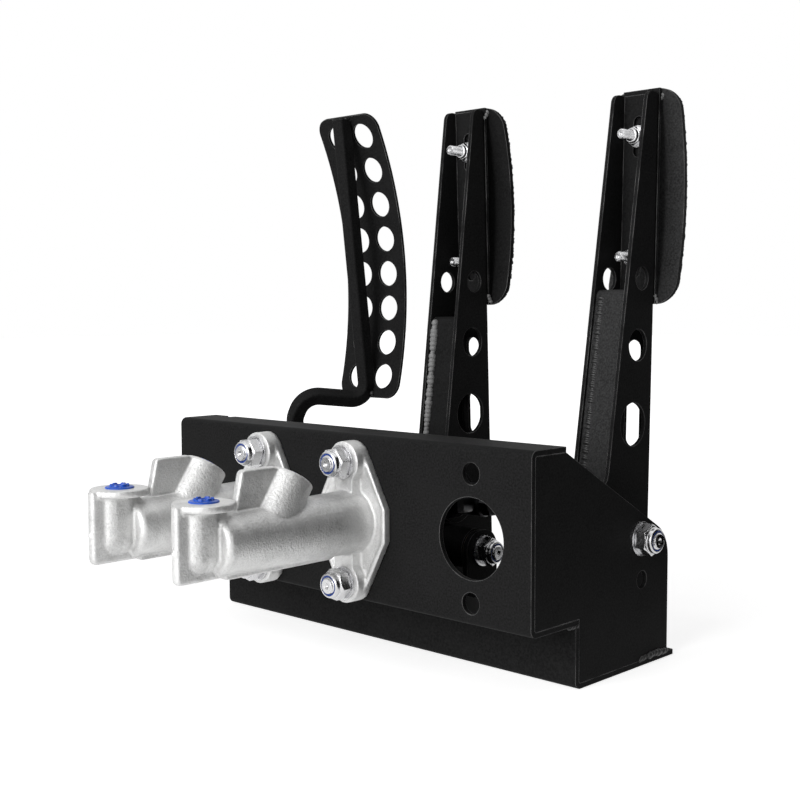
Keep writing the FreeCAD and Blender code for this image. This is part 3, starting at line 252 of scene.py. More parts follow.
def node_group(tree_kind, name, inputs, outputs, build):
    """Node group, built once; sockets are (label, kind, default) and (label, kind)."""
    if name in bpy.data.node_groups:
        return bpy.data.node_groups[name]
    tree = bpy.data.node_groups.new(name, tree_kind)
    for label, kind, default in inputs:
        socket = tree.interface.new_socket(label, in_out="INPUT", socket_type="NodeSocket" + kind)
        if default is not None:
            socket.default_value = default
    for label, kind in outputs:
        tree.interface.new_socket(label, in_out="OUTPUT", socket_type="NodeSocket" + kind)
    nodes = Nodes(tree)
    build(nodes, nodes.add("NodeGroupInput").outputs, nodes.add("NodeGroupOutput").inputs)
    return tree


def skin_group(name, size, outputs, build):
    """Shader group over a point in space, with the size of its pattern."""
    def whole(nodes, given, out):
        build(nodes, given["Point"], nodes.math("DIVIDE", 1.0, given["Size"]), out)
    inputs = [("Point", "Vector", None), ("Size", "Float", size)]
    return node_group("ShaderNodeTree", name, inputs, [(label, "Float") for label in outputs], whole)


def edge_light():
    """Rounded normals along sharp edges and a mask of those edges, used for painted edge highlights."""
    def build(nodes, given, out):
        bevel = nodes.add("ShaderNodeBevel", {"Radius": given["Radius"]}, samples=4)
        plain = nodes.add("ShaderNodeNewGeometry").outputs["Normal"]
        same = nodes.add("ShaderNodeVectorMath", {0: bevel.outputs[0], 1: plain}, operation="DOT_PRODUCT")
        nodes.feed(nodes.spread(same.outputs["Value"], 0.99, 0.9), out["Mask"])
        nodes.feed(bevel.outputs[0], out["Normal"])
    return node_group("ShaderNodeTree", "edge_light", [("Radius", "Float", 0.0005)],
                      [("Mask", "Float"), ("Normal", "Vector")], build)


def grain():
    """Two sizes of fine noise: a height for bump and a shade."""
    def build(nodes, point, scale, out):
        fine = nodes.noise(point, scale, Detail=2.0)
        wide = nodes.noise(point, nodes.math("MULTIPLY", scale, 0.28), Detail=1.0)
        height = nodes.math("ADD", fine, nodes.math("MULTIPLY", wide, 0.7))
        nodes.feed(nodes.math("MULTIPLY", height, 0.6), out["Height"])
        nodes.feed(nodes.spread(fine, 0.3, 0.7), out["Shade"])
    return skin_group("grain", 0.0006, ["Height", "Shade"], build)


def mottle():
    """Slow patchy variation over the surface."""
    def build(nodes, point, scale, out):
        patch = nodes.noise(point, scale, Detail=4.0, Roughness=0.6, Distortion=0.4)
        nodes.feed(nodes.spread(patch, 0.32, 0.68), out["Shade"])
    return skin_group("mottle", 0.02, ["Shade"], build)


def sand_pits():
    """Cast skin: rounded lumps with a few deeper pits, and a mask of the pits that the finishes darken as
    painted shade.
    """
    def build(nodes, point, scale, out):
        lumps = nodes.noise(point, scale, Detail=3.0, Roughness=0.62)
        cell_scale = nodes.math("MULTIPLY", scale, 0.8)
        cells = nodes.add("ShaderNodeTexVoronoi", {"Vector": point, "Scale": cell_scale})
        pit = nodes.spread(cells.outputs["Distance"], 0.16, 0.05)
        nodes.feed(nodes.math("SUBTRACT", lumps, nodes.math("MULTIPLY", pit, 0.35)), out["Height"])
        nodes.feed(pit, out["Pits"])
        nodes.feed(nodes.spread(lumps, 0.3, 0.7), out["Shade"])
    return skin_group("sand_pits", 0.0008, ["Height", "Pits", "Shade"], build)


def use_group(nodes, group, **values):
    return nodes.add("ShaderNodeGroup", values, node_tree=group).outputs


def finish_of(name):
    """Material made here for a finish; the frame's own materials have the plain names."""
    return bpy.data.materials[name + "_finish"]


def start_material(name, constants):
    """New material with constants on its shader's sockets, and object coordinates."""
    material = bpy.data.materials.new(name + "_finish")
    material.use_nodes = True
    nodes = Nodes(material.node_tree)
    shader = material.node_tree.nodes["Principled BSDF"]
    for socket, value in constants.items():
        shader.inputs[socket].default_value = value
    point = nodes.add("ShaderNodeTexCoord").outputs["Object"]
    return material, nodes, shader, point


def bump(nodes, shader, height, distance, strength=1.0, normal=None):
    values = {"Height": height, "Distance": distance, "Strength": strength}
    if normal is not None:
        values["Normal"] = normal
    nodes.feed(nodes.add("ShaderNodeBump", values).outputs[0], shader.inputs["Normal"])


def colour(tone, share=1.0):
    """Tone with its alpha, made darker or lighter by a share."""
    return tuple(min(1.0, v * share) for v in tone) + (1.0,)


def roughen(nodes, shader, shade, low, high):
    """Roughness that goes from low to high with a shade."""
    nodes.feed(nodes.spread(shade, 0.0, 1.0, low, high), shader.inputs["Roughness"])


# Finishes


def powder_coat(finish, name, lift):
    """Satin black powder coat: fine orange peel, faint specks and painted highlights along sheet edges."""
    _, nodes, shader, point = start_material(name, {"Specular IOR Level": 0.03})
    fine = use_group(nodes, grain(), Point=point, Size=0.0009)
    patch = use_group(nodes, mottle(), Point=point, Size=0.02)
    edge = use_group(nodes, edge_light(), Radius=0.0006)
    # A lift above 1 makes the whole coat lighter: painted light for the parts given that copy.
    soft = colour(finish.powder_black, lift * 2.6)
    base = nodes.blend(fine["Shade"], colour(finish.powder_black, lift), soft)
    base = nodes.blend(nodes.math("MULTIPLY", patch["Shade"], 0.35), base, soft)
    # Painted highlight: the edge mask, broken up by the patches, lightens the sheet edges.
    edge_highlight = nodes.math("MULTIPLY", edge["Mask"], nodes.spread(patch["Shade"], 0.2, 0.9, 0.15, 1.0))
    nodes.feed(nodes.blend(edge_highlight, base, colour(finish.powder_edge)), shader.inputs["Base Color"])
    roughen(nodes, shader, fine["Shade"], 0.54, 0.66)
    bump(nodes, shader, fine["Height"], 0.00007, 0.7, edge["Normal"])


def grip_coat(finish):
    """Coarse grit bonded in black paint."""
    _, nodes, shader, point = start_material("grip_coat", {"Specular IOR Level": 0.35})
    fine = use_group(nodes, grain(), Point=point, Size=0.0009)
    pits = use_group(nodes, sand_pits(), Point=point, Size=0.0012)
    glint = nodes.math("MULTIPLY", fine["Shade"], 0.6)
    base = nodes.blend(glint, colour(finish.grip_black), colour(finish.grip_black, 4))
    nodes.feed(base, shader.inputs["Base Color"])
    roughen(nodes, shader, pits["Shade"], 0.5, 0.85)
    bump(nodes, shader, pits["Height"], 0.0004)


def cast_aluminium(finish):
    """As-cast aluminium: matt grey metal with slow patches, lumps and pits darkened with painted shade."""
    _, nodes, shader, point = start_material("cast_aluminium", {"Metallic": 0.68})
    skin = use_group(nodes, sand_pits(), Point=point, Size=0.001)
    patch = use_group(nodes, mottle(), Point=point, Size=0.009)
    grey = finish.cast_grey
    base = nodes.blend(patch["Shade"], colour(grey, 0.7), colour(grey))
    base = nodes.blend(nodes.math("MULTIPLY", skin["Shade"], 0.5), base, colour(grey, 1.2))
    # Painted shade: the pits are darkened.
    base = nodes.blend(nodes.math("MULTIPLY", skin["Pits"], 0.6), base, colour(grey, 0.4))
    nodes.feed(base, shader.inputs["Base Color"])
    roughen(nodes, shader, skin["Shade"], 0.38, 0.56)
    bump(nodes, shader, skin["Height"], 0.0003)


def plated(name, tone, low, high, grain_size):
    """Plated or turned steel with faint smudges, fine marks and painted highlights along its edges."""
    _, nodes, shader, point = start_material(name, {"Metallic": 1.0})
    fine = use_group(nodes, grain(), Point=point, Size=grain_size)
    patch = use_group(nodes, mottle(), Point=point, Size=0.004)
    edge = use_group(nodes, edge_light(), Radius=0.00025)
    base = nodes.blend(patch["Shade"], colour(tone, 0.86), colour(tone))
    # Painted highlight: the edges are lightened along the edge mask.
    nodes.feed(nodes.blend(edge["Mask"], base, colour(tone, 1.15)), shader.inputs["Base Color"])
    roughen(nodes, shader, patch["Shade"], low, high)
    bump(nodes, shader, fine["Height"], 0.0000015, 0.3, edge["Normal"])


def moulded(name, tone, roughness, coat):
    """Moulded plastic or rubber with slight sinks, a fine skin and painted highlights along its edges."""
    _, nodes, shader, point = start_material(name, {"Coat Weight": coat})
    fine = use_group(nodes, grain(), Point=point, Size=0.0008)
    patch = use_group(nodes, mottle(), Point=point, Size=0.006)
    edge = use_group(nodes, edge_light(), Radius=0.0003)
    base = nodes.blend(patch["Shade"], colour(tone, 0.8), colour(tone, 1.15))
    # Painted highlight: the edges are lightened along the edge mask.
    base = nodes.blend(nodes.math("MULTIPLY", edge["Mask"], 0.5), base, colour(tone, 1.8))
    nodes.feed(base, shader.inputs["Base Color"])
    roughen(nodes, shader, fine["Shade"], roughness, roughness + 0.12)
    bump(nodes, shader, fine["Height"], 0.00004, 0.6, edge["Normal"])


def sintered_bronze(finish):
    """Porous bronze of the bushes, its pores darkened with painted shade."""
    _, nodes, shader, point = start_material("bronze", {"Metallic": 1.0})
    skin = use_group(nodes, sand_pits(), Point=point, Size=0.0004)
    base = nodes.blend(skin["Shade"], colour(finish.bronze, 0.8), colour(finish.bronze))
    # Painted shade: the pores are darkened.
    nodes.feed(nodes.blend(skin["Pits"], base, colour(finish.bronze, 0.3)), shader.inputs["Base Color"])
    roughen(nodes, shader, skin["Shade"], 0.35, 0.5)
    bump(nodes, shader, skin["Height"], 0.00003)


def weld_metal(name, tone, roughness):
    """Weld bead in the tone it is given: under thin paint, or light grey."""
    _, nodes, shader, point = start_material(name, {})
    skin = use_group(nodes, sand_pits(), Point=point, Size=0.0009)
    nodes.feed(nodes.blend(skin["Shade"], colour(tone, 0.55), colour(tone)), shader.inputs["Base Color"])
    roughen(nodes, shader, skin["Shade"], roughness, roughness + 0.15)
    bump(nodes, shader, skin["Height"], 0.00015)


def make_finishes(context):
    finish = context.scene.pedal_finish
    powder_coat(finish, "powder_coat", 1.0)
    # Lighter copy of the powder coat: painted light on the clutch's boxing plate and pad.
    powder_coat(finish, "powder_dusty", 2.6)
    grip_coat(finish)
    cast_aluminium(finish)
    plated("zinc_steel", finish.zinc_bright, 0.16, 0.32, 0.0006)
    plated("bare_steel", finish.steel_bare, 0.24, 0.4, 0.0003)
    plated("black_steel", finish.steel_black, 0.3, 0.45, 0.0004)
    plated("piston_aluminium", (0.66, 0.66, 0.68), 0.25, 0.4, 0.0004)
    sintered_bronze(finish)
    moulded("nylon_ring", finish.ring_blue, 0.35, 0.0)
    moulded("plug_plastic", finish.plug_blue, 0.36, 0.06)
    moulded("boot_rubber", finish.rubber_black, 0.6, 0.0)
    weld_metal("weld_bare", finish.weld_grey, 0.5)
    # The bead under the black paint gets 3.4 times the coat's tone: painted sheen on its ripples.
    weld_metal("weld_painted", [v * 3.4 for v in finish.powder_black], 0.35)


def dress_cad_nodes():
    """Gives every carried-over CAD node the finish of its material slot, apart from some parts inside the
    housing, which get dark steel, and the clutch's boxing plate and pad, which get the lighter copy of the
    powder coat that paints light.
    """
    slots = {part["node"]: part["material_slot"] for part in frame["record"]["subparts"]}
    # These parts inside the housing get dark steel in place of their zinc slot.
    dark_steel_parts = ("trunnion", "jam_nuts", "pushrod_nut", "bias_bearing")
    # Painted light: the clutch's boxing plate and pad get the lighter copy of the powder coat.
    painted_light_parts = ("clutch_boxing_plate", "clutch_pad")
    for name, node in frame["nodes"].items():
        finish = "black_steel" if name.startswith(dark_steel_parts) else slots[name]
        finish = "powder_dusty" if name in painted_light_parts else finish
        for slot in node.material_slots:
            slot.material = finish_of(finish)


# Mesh helpers


def place(name, mesh):
    """Object of a mesh, put in the scene."""
    piece = bpy.data.objects.new(name, mesh)
    bpy.context.scene.collection.objects.link(piece)
    return piece


def mesh_piece(name, verts, faces):
    """Mesh object with outward faces, smooth apart from its sharp edges."""
    mesh = bpy.data.meshes.new(name)
    mesh.from_pydata([tuple(v) for v in verts], [], faces)
    mesh.update()
    work = bmesh.new()
    work.from_mesh(mesh)
    bmesh.ops.remove_doubles(work, verts=work.verts, dist=1e-7)
    bmesh.ops.recalc_face_normals(work, faces=work.faces)
    work.to_mesh(mesh)
    work.free()
    shade(mesh, 35)
    return place(name, mesh)


def shade(mesh, sharp):
    """Smooth faces, with edges sharper than so many degrees kept."""
    mesh.polygons.foreach_set("use_smooth", [True] * len(mesh.polygons))
    mesh.set_sharp_from_angle(angle=math.radians(sharp))


def islands(node):
    """Lowest corner, highest corner and centre of each separate solid of a CAD node."""
    work = bmesh.new()
    work.from_mesh(frame["nodes"][node].data)
    bmesh.ops.remove_doubles(work, verts=work.verts, dist=1e-6)
    seen = set()
    boxes = []
    for vert in work.verts:
        if vert in seen:
            continue
        seen.add(vert)
        stack = [vert]
        points = []
        while stack:
            here = stack.pop()
            points.append(here.co.copy())
            for edge in here.link_edges:
                other = edge.other_vert(here)
                if other not in seen:
                    seen.add(other)
                    stack.append(other)
        low = Vector([min(p[i] for p in points) for i in range(3)])
        high = Vector([max(p[i] for p in points) for i in range(3)])
        boxes.append((low, high, (low + high) / 2))
    work.free()
    return sorted(boxes, key=lambda box: (round(box[0].x, 4), round(box[0].z, 4)))


def voxel_skin(node, name, grid):
    """Object with a merged copy of a CAD node's mesh under an even skin of small faces."""
    mesh = frame["nodes"][node].data.copy()
    work = bmesh.new()
    work.from_mesh(mesh)
    bmesh.ops.remove_doubles(work, verts=work.verts, dist=1e-6)
    work.to_mesh(mesh)
    work.free()
    mesh.materials.clear()
    piece = place(name, mesh)
    remesh = piece.modifiers.new("skin", "REMESH")
    remesh.mode = "VOXEL"
    remesh.voxel_size = grid
    return piece


def settle(piece):
    """Turns an object with modifiers into a plain mesh object of the same name."""
    graph = bpy.context.evaluated_depsgraph_get()
    mesh = bpy.data.meshes.new_from_object(piece.evaluated_get(graph), preserve_all_data_layers=True,
                                           depsgraph=graph)
    name = piece.name
    bpy.data.objects.remove(piece)
    mesh.name = name
    return place(name, mesh)


def hand_over(piece, body, slot, replaced="", finish=""):
    """Gives a piece its finish, which is its slot's unless another is named, puts it on its body and hides
    the CAD node that it stands for.
    """
    piece.data.materials.clear()
    piece.data.materials.append(finish_of(finish or slot))
    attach(piece, body)
    if replaced:
        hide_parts(replaced)


def stand_in(name, parts, body, slot, replaced, finish=""):
    """Piece of several solids in place of a CAD node."""
    hand_over(mesh_piece(name, *join_parts(parts)), body, slot, replaced, finish)


def frame_along(direction):
    """Rotation that carries +Z to a direction."""
    return Vector((0, 0, 1)).rotation_difference(Vector(direction)).to_matrix()


def ring_faces(rings, segments, closed=True):
    """Faces between rings of points; closed joins the last ring to the first."""
    faces = []
    for ring in range(rings if closed else rings - 1):
        here = ring * segments
        there = (ring + 1) % rings * segments
        for i in range(segments):
            j = (i + 1) % segments
            faces.append((here + i, here + j, there + j, there + i))
    return faces


def lathe(rings, segments, start, direction, turn=0.0):
    """Closed solid of rings (height, radius), or (height, radius, flats) for one cut to a hexagon."""
    spin = frame_along(direction)
    verts = []
    for height, radius, *flats in rings:
        for i in range(segments):
            angle = 2 * math.pi * i / segments
            reach = radius
            if flats:
                inside = (angle % (math.pi / 3)) - math.pi / 6
                reach = min(radius, flats[0] / 2 / math.cos(inside))
            local = Vector((reach * math.cos(angle + turn), reach * math.sin(angle + turn), height))
            verts.append(Vector(start) + spin @ local)
    return verts, ring_faces(len(rings), segments)


def join_parts(parts):
    """Joins (verts, faces) lists into one."""
    verts = []
    faces = []
    for more_verts, more_faces in parts:
        shift = len(verts)
        verts.extend(more_verts)
        faces.extend([tuple(i + shift for i in face) for face in more_faces])
    return verts, faces


def hex_rings(flats, low, high, bore, corner, both_ends=True):
    """Rings of a hexagon with turned corners, round a bore; bore 0 closes both faces."""
    point = flats / math.sqrt(3)
    inner = flats / 2 * corner
    rise = (point - inner) * math.tan(math.radians(30))
    rings = [(low, bore)]
    steps = 5
    if both_ends:
        shares = [i / (steps - 1) for i in range(steps)]
        rings += [(low + rise * share, inner + (point - inner) * share, flats) for share in shares]
    else:
        rings.append((low, point, flats))
    shares = [1 - i / (steps - 1) for i in range(steps)]
    rings += [(high - rise * share, inner + (point - inner) * share, flats) for share in shares]
    rings.append((high, bore))
    return rings


def thread(radius, pitch, length, start, direction, segments=28, chamfer=0.6 * mm, dimple=0.0):
    """Rod with a true helical thread, chamfered ends and an optional drilled centre at its far end."""
    spin = frame_along(direction)
    depth = pitch * 0.58
    steps = max(4, int(length / pitch * 6))
    verts = []

    def ring(height, reach_of):
        for i in range(segments):
            angle = 2 * math.pi * i / segments
            reach = reach_of(angle)
            local = Vector((reach * math.cos(angle), reach * math.sin(angle), height))
            verts.append(Vector(start) + spin @ local)

    def thread_reach(height):
        edge = min(height, length - height)
        limit = radius - depth + edge / chamfer * depth if edge < chamfer else radius

        def reach(angle):
            turn = (height / pitch - angle / (2 * math.pi)) % 1.0
            wave = abs(turn * 2 - 1)
            return min(limit, radius - depth * min(1.0, max(0.0, wave * 1.35 - 0.15)))
        return reach

    ring(0, lambda angle: 0.0)
    for step in range(steps + 1):
        height = length * step / steps
        ring(height, thread_reach(height))
    if dimple > 0:
        ring(length, lambda angle: dimple)
        ring(length - dimple * 0.7, lambda angle: dimple * 0.25)
        ring(length - dimple * 0.8, lambda angle: 0.0)
    else:
        ring(length, lambda angle: 0.0)
    return verts, ring_faces(len(verts) // segments, segments, closed=False)


# Geometry node trees


def geometry_tree(name, inputs, build):
    """Tree that builds a geometry, realizes it and gives it its finish."""
    def whole(nodes, given, out):
        real = nodes.add("GeometryNodeRealizeInstances", {"Geometry": build(nodes, given)})
        values = {"Geometry": real.outputs[0], "Material": given["Finish"]}
        nodes.feed(nodes.add("GeometryNodeSetMaterial", values).outputs[0], out["Geometry"])
    inputs = [("Geometry", "Geometry", None), *inputs, ("Finish", "Material", None)]
    return node_group("GeometryNodeTree", name, inputs, [("Geometry", "Geometry")], whole)


def turned_by(nodes, rotation, axis, angle):
    """Rotation with a further turn round one of its own axes."""
    more = nodes.add("FunctionNodeAxisAngleToRotation", {"Axis": axis, "Angle": angle})
    turned = nodes.add("FunctionNodeRotateRotation", {"Rotation": rotation, "Rotate By": more.outputs[0]},
                       rotation_space="LOCAL")
    return turned.outputs[0]


def copies_tree():
    """One copy of a piece at each point, facing along the point's own direction."""
    def build(nodes, given):
        facing = nodes.add("GeometryNodeInputNamedAttribute", {"Name": "facing"},
                           data_type="FLOAT_VECTOR")
        aligned = nodes.add("FunctionNodeAlignRotationToVector", {"Vector": facing.outputs["Attribute"]},
                            axis="Z")
        spin = nodes.luck(0.0, given["Turn"], given["Seed"])
        piece = nodes.add("GeometryNodeObjectInfo", {"Object": given["Piece"], "As Instance": True})
        return nodes.add("GeometryNodeInstanceOnPoints", {
            "Points": given["Geometry"], "Instance": piece.outputs["Geometry"],
            "Rotation": turned_by(nodes, aligned.outputs[0], (0, 0, 1), spin)}).outputs[0]
    inputs = [("Piece", "Object", None), ("Turn", "Float", 0.4), ("Seed", "Int", 7)]
    return geometry_tree("copies", inputs, build)


def bead_tree():
    """Weld bead: overlapping ripples along the edges of a path."""
    def build(nodes, given):
        curve = nodes.add("GeometryNodeMeshToCurve", {"Mesh": given["Geometry"]})
        values = {"Curve": curve.outputs[0], "Length": given["Pitch"]}
        points = nodes.add("GeometryNodeCurveToPoints", values, mode="LENGTH")
        least = nodes.math("SUBTRACT", 1.0, given["Uneven"])
        most = nodes.math("ADD", 1.0, given["Uneven"])
        wide = nodes.math("MULTIPLY", given["Width"], nodes.luck(least, most, given["Seed"]))
        deep = nodes.math("MULTIPLY", given["Pitch"], 0.9)
        size = nodes.add("ShaderNodeCombineXYZ", {"X": wide, "Y": wide, "Z": deep})
        ball = nodes.add("GeometryNodeMeshIcoSphere", {"Radius": 1.0, "Subdivisions": 3})
        smooth = nodes.add("GeometryNodeSetShadeSmooth", {"Geometry": ball.outputs["Mesh"],
                                                          "Shade Smooth": True})
        return nodes.add("GeometryNodeInstanceOnPoints", {
            "Points": points.outputs["Points"], "Instance": smooth.outputs[0], "Scale": size.outputs[0],
            "Rotation": turned_by(nodes, points.outputs["Rotation"], (1, 0, 0), given["Lean"])}).outputs[0]
    inputs = [("Pitch", "Float", 0.002), ("Width", "Float", 0.0024), ("Lean", "Float", 0.6),
              ("Uneven", "Float", 0.12), ("Seed", "Int", 3)]
    return geometry_tree("weld_bead", inputs, build)


def grit_tree():
    """Pushes a skin inwards in uneven grains."""
    def build(nodes, given):
        noise = nodes.add("ShaderNodeTexNoise", {
            "Vector": nodes.add("GeometryNodeInputPosition").outputs[0], "W": given["Seed"],
            "Scale": nodes.math("DIVIDE", 1.0, given["Grain"]), "Detail": 2.0}, noise_dimensions="4D")
        share = nodes.spread(noise.outputs["Fac"], 0.32, 0.62, -1.0, 0.0)
        normal = nodes.add("GeometryNodeInputNormal").outputs[0]
        facing = nodes.add("ShaderNodeSeparateXYZ", {0: normal}).outputs["Y"]
        reach = nodes.math("MULTIPLY", share, given["Depth"])
        reach = nodes.math("MULTIPLY", reach, nodes.spread(facing, -0.5, 0.0))
        shift = nodes.add("ShaderNodeVectorMath", {0: normal, "Scale": reach}, operation="SCALE")
        return nodes.add("GeometryNodeSetPosition", {"Geometry": given["Geometry"],
                                                     "Offset": shift.outputs[0]}).outputs[0]
    inputs = [("Depth", "Float", 0.0006), ("Grain", "Float", 0.0011), ("Seed", "Float", 5.0)]
    return geometry_tree("grit", inputs, build)


def grow(piece, tree, values):
    """Adds a geometry nodes modifier with named inputs and settles the result."""
    modifier = piece.modifiers.new("grow", "NODES")
    modifier.node_group = tree
    for item in tree.interface.items_tree:
        if item.item_type == "SOCKET" and item.in_out == "INPUT" and item.name in values:
            modifier[item.identifier] = values[item.name]
    return settle(piece)


def copies(name, master, places, finish, seed):
    """Settled copies of a master piece at (point, direction) places, each turned by chance."""
    mesh = bpy.data.meshes.new(name)
    mesh.from_pydata([tuple(point) for point, _ in places], [], [])
    facing = mesh.attributes.new("facing", "FLOAT_VECTOR", "POINT")
    for i, (_, direction) in enumerate(places):
        facing.data[i].vector = direction
    piece = grow(place(name, mesh), copies_tree(), {
        "Piece": master, "Finish": finish_of(finish), "Turn": 1.0, "Seed": seed})
    bpy.data.objects.remove(master)
    return piece


def path_object(name, lines):
    """Edges-only mesh through the points of each line."""
    verts = []
    edges = []
    for line in lines:
        start = len(verts)
        verts.extend([tuple(Vector(p) * mm) for p in line])
        edges.extend([(start + i, start + i + 1) for i in range(len(line) - 1)])
    mesh = bpy.data.meshes.new(name)
    mesh.from_pydata(verts, edges, [])
    return place(name, mesh)


# Castings


def make_casting(context, side):
    """Master cylinder casting with soft corners and blends where its forms meet."""
    detail = context.scene.pedal_detail
    piece = voxel_skin("cylinder_" + side, "casting_" + side, detail.casting_grid)
    smooth = piece.modifiers.new("soften", "SMOOTH")
    smooth.factor = 0.5
    smooth.iterations = detail.casting_softness
    piece = settle(piece)
    clear_bore(piece.data, side)
    shade(piece.data, 180)
    hand_over(piece, "box", "cast_aluminium", "cylinder_" + side)


def clear_bore(mesh, side):
    """Puts the skin of the bore back on its true radius, clear of the piston."""
    low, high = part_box("piston_" + side)
    centre = (low + high) / 2
    bore = (high.x - low.x) / 2 + bore_gap
    for vert in mesh.vertices:
        across = Vector((vert.co.x - centre.x, 0, vert.co.z - centre.z))
        near = 0.6 * bore < across.length < bore + 0.7 * mm
        if near and vert.co.y > low.y - bore_depth:
            across.normalize()
            vert.co.x = centre.x + across.x * bore
            vert.co.z = centre.z + across.z * bore


# Fasteners


def nut_master():
    """Lock nut body: hexagon with turned corners and a rolled collar."""
    lip = nut_bore + 0.55 * mm
    rings = hex_rings(nut_flats, 0, nut_hex_height, nut_bore, 0.97)[:-1]
    rings += [
        (nut_hex_height, collar_radius + 0.25 * mm),
        (nut_hex_height + 0.3 * mm, collar_radius),
        (nut_height - 0.9 * mm, collar_radius),
        (nut_height - 0.45 * mm, collar_radius - 0.15 * mm),
        (nut_height - 0.12 * mm, collar_radius - 0.55 * mm),
        (nut_height, collar_radius - 1.0 * mm),
        (nut_height - 0.1 * mm, lip + 0.35 * mm),
        (nut_height - 0.6 * mm, lip),
        (nut_height - 1.5 * mm, lip),
        (nut_height - 1.5 * mm, nut_bore),
    ]
    return mesh_piece("nut_master", *lathe(rings, 72, (0, 0, 0), (0, 0, 1)))


def ring_master():
    """Plastic ring that shows in the end of a lock nut."""
    outer = nut_bore + 0.75 * mm
    rings = [
        (nut_height - 1.4 * mm, nut_bore),
        (nut_height - 1.4 * mm, outer),
        (nut_height - 0.45 * mm, outer),
        (nut_height - 0.3 * mm, outer - 0.25 * mm),
        (nut_height - 0.4 * mm, nut_bore),
    ]
    return mesh_piece("ring_master", *lathe(rings, 48, (0, 0, 0), (0, 0, 1)))


def nut_places(node, axis):
    """Seat point and outward direction of each nut of a node."""
    places = []
    for low, high, centre in islands(node):
        if axis == 1:
            places.append((Vector((centre.x, high.y, centre.z)), Vector((0, -1, 0))))
        else:
            out = -1 if centre.x < -100 * mm else 1
            seat = Vector((high.x if out < 0 else low.x, centre.y, centre.z))
            places.append((seat, Vector((out, 0, 0))))
    return places


def make_lock_nuts():
    """Lock nuts and their plastic rings on the flanges and pivots."""
    for group, axis, seed in (("cylinder", 1, 4), ("pivot", 0, 9)):
        places = nut_places(group + "_nuts", axis)
        nuts = copies(group + "_lock_nuts", nut_master(), places, "zinc_steel", seed)
        hand_over(nuts, "box", "zinc_steel", group + "_nuts")
        rings = copies(group + "_lock_rings", ring_master(), places, "nylon_ring", seed)
        hand_over(rings, "box", "nylon_ring", group + "_nut_rings")


def bolt_shape(start, direction, length, pitch, turn):
    """Hexagon bolt from the underside of its head: head behind, shank and threaded end ahead."""
    back = Vector(direction) * -1
    head = hex_rings(nut_flats, 0.25 * mm, bolt_head, 0.0, 0.95, both_ends=False)
    head = [(0, 0.0), (0, bolt_face), (0.25 * mm, bolt_face)] + head[1:]
    threaded = min(length * 0.6, 18 * mm)
    plain = length - threaded
    shank = [(-0.2 * mm, 0.0), (-0.2 * mm, 3.99 * mm), (plain, 3.99 * mm), (plain, 0.0)]
    tip = Vector(start) + Vector(direction) * plain
    return join_parts([
        lathe(head, 72, start, back, turn),
        lathe(shank, 40, start, direction),
        thread(thread_radius, pitch, threaded, tip, direction, 40, chamfer=0.7 * mm, dimple=1.5 * mm),
    ])


def make_bolts(context):
    """Flange bolts and pivot bolts with turned heads and centre-drilled threaded ends."""
    pitch = context.scene.pedal_detail.thread_eight
    parts = []
    for low, high, centre in islands("cylinder_bolts"):
        start = Vector((centre.x, high.y - bolt_head, centre.z))
        parts.append(bolt_shape(start, (0, -1, 0), high.y - bolt_head - low.y, pitch, 0.3))
    stand_in("flange_bolts", parts, "box", "zinc_steel", "cylinder_bolts")
    parts = []
    for low, high, centre in islands("pivot_bolts"):
        out, turn = (-1, 0.5) if centre.x < -60 * mm else (1, 0.1)
        seat = high.x - bolt_head if out < 0 else low.x + bolt_head
        start = Vector((seat, centre.y, centre.z))
        parts.append(bolt_shape(start, (out, 0, 0), high.x - low.x - bolt_head, pitch, turn))
    stand_in("pivot_bolts_turned", parts, "box", "zinc_steel", "pivot_bolts")


def pad_nut_rings(deep):
    """Rings of a flat washer where a solid is thin, and of a small lock nut where it is deep."""
    if deep < 2 * mm:
        return [(0, washer_bore), (0, washer_radius - 0.1 * mm), (0.15 * mm, washer_radius),
                (deep - 0.15 * mm, washer_radius), (deep, washer_radius - 0.2 * mm), (deep, washer_bore)]
    rings = hex_rings(small_flats, 0, small_hex_height, small_bore, 0.97)[:-1]
    rings += [(small_hex_height, small_collar + 0.15 * mm), (small_hex_height + 0.3 * mm, small_collar),
              (deep - 0.5 * mm, small_collar), (deep - 0.1 * mm, small_collar - 0.35 * mm),
              (deep, 2.9 * mm), (deep - 0.3 * mm, small_bore)]
    return rings


def make_pad_fasteners(context):
    """Threaded studs behind the pads with their washers and nuts."""
    pitch = context.scene.pedal_detail.thread_five
    for pedal in ("brake", "clutch"):
        parts = []
        for low, high, centre in islands(pedal + "_pad_studs"):
            start = Vector((centre.x, high.y, centre.z))
            radius = (high.x - low.x) / 2
            parts.append(thread(radius, pitch, high.y - low.y, start, (0, -1, 0), 28,
                                chamfer=0.5 * mm, dimple=1.0 * mm))
        stand_in(pedal + "_studs_threaded", parts, pedal, "zinc_steel", pedal + "_pad_studs")
        parts = []
        for low, high, centre in islands(pedal + "_pad_nuts"):
            seat = Vector((centre.x, high.y, centre.z))
            parts.append(lathe(pad_nut_rings(high.y - low.y), 60, seat, (0, -1, 0), 0.35))
        stand_in(pedal + "_pad_nuts_turned", parts, pedal, "zinc_steel", pedal + "_pad_nuts")


# Port plugs


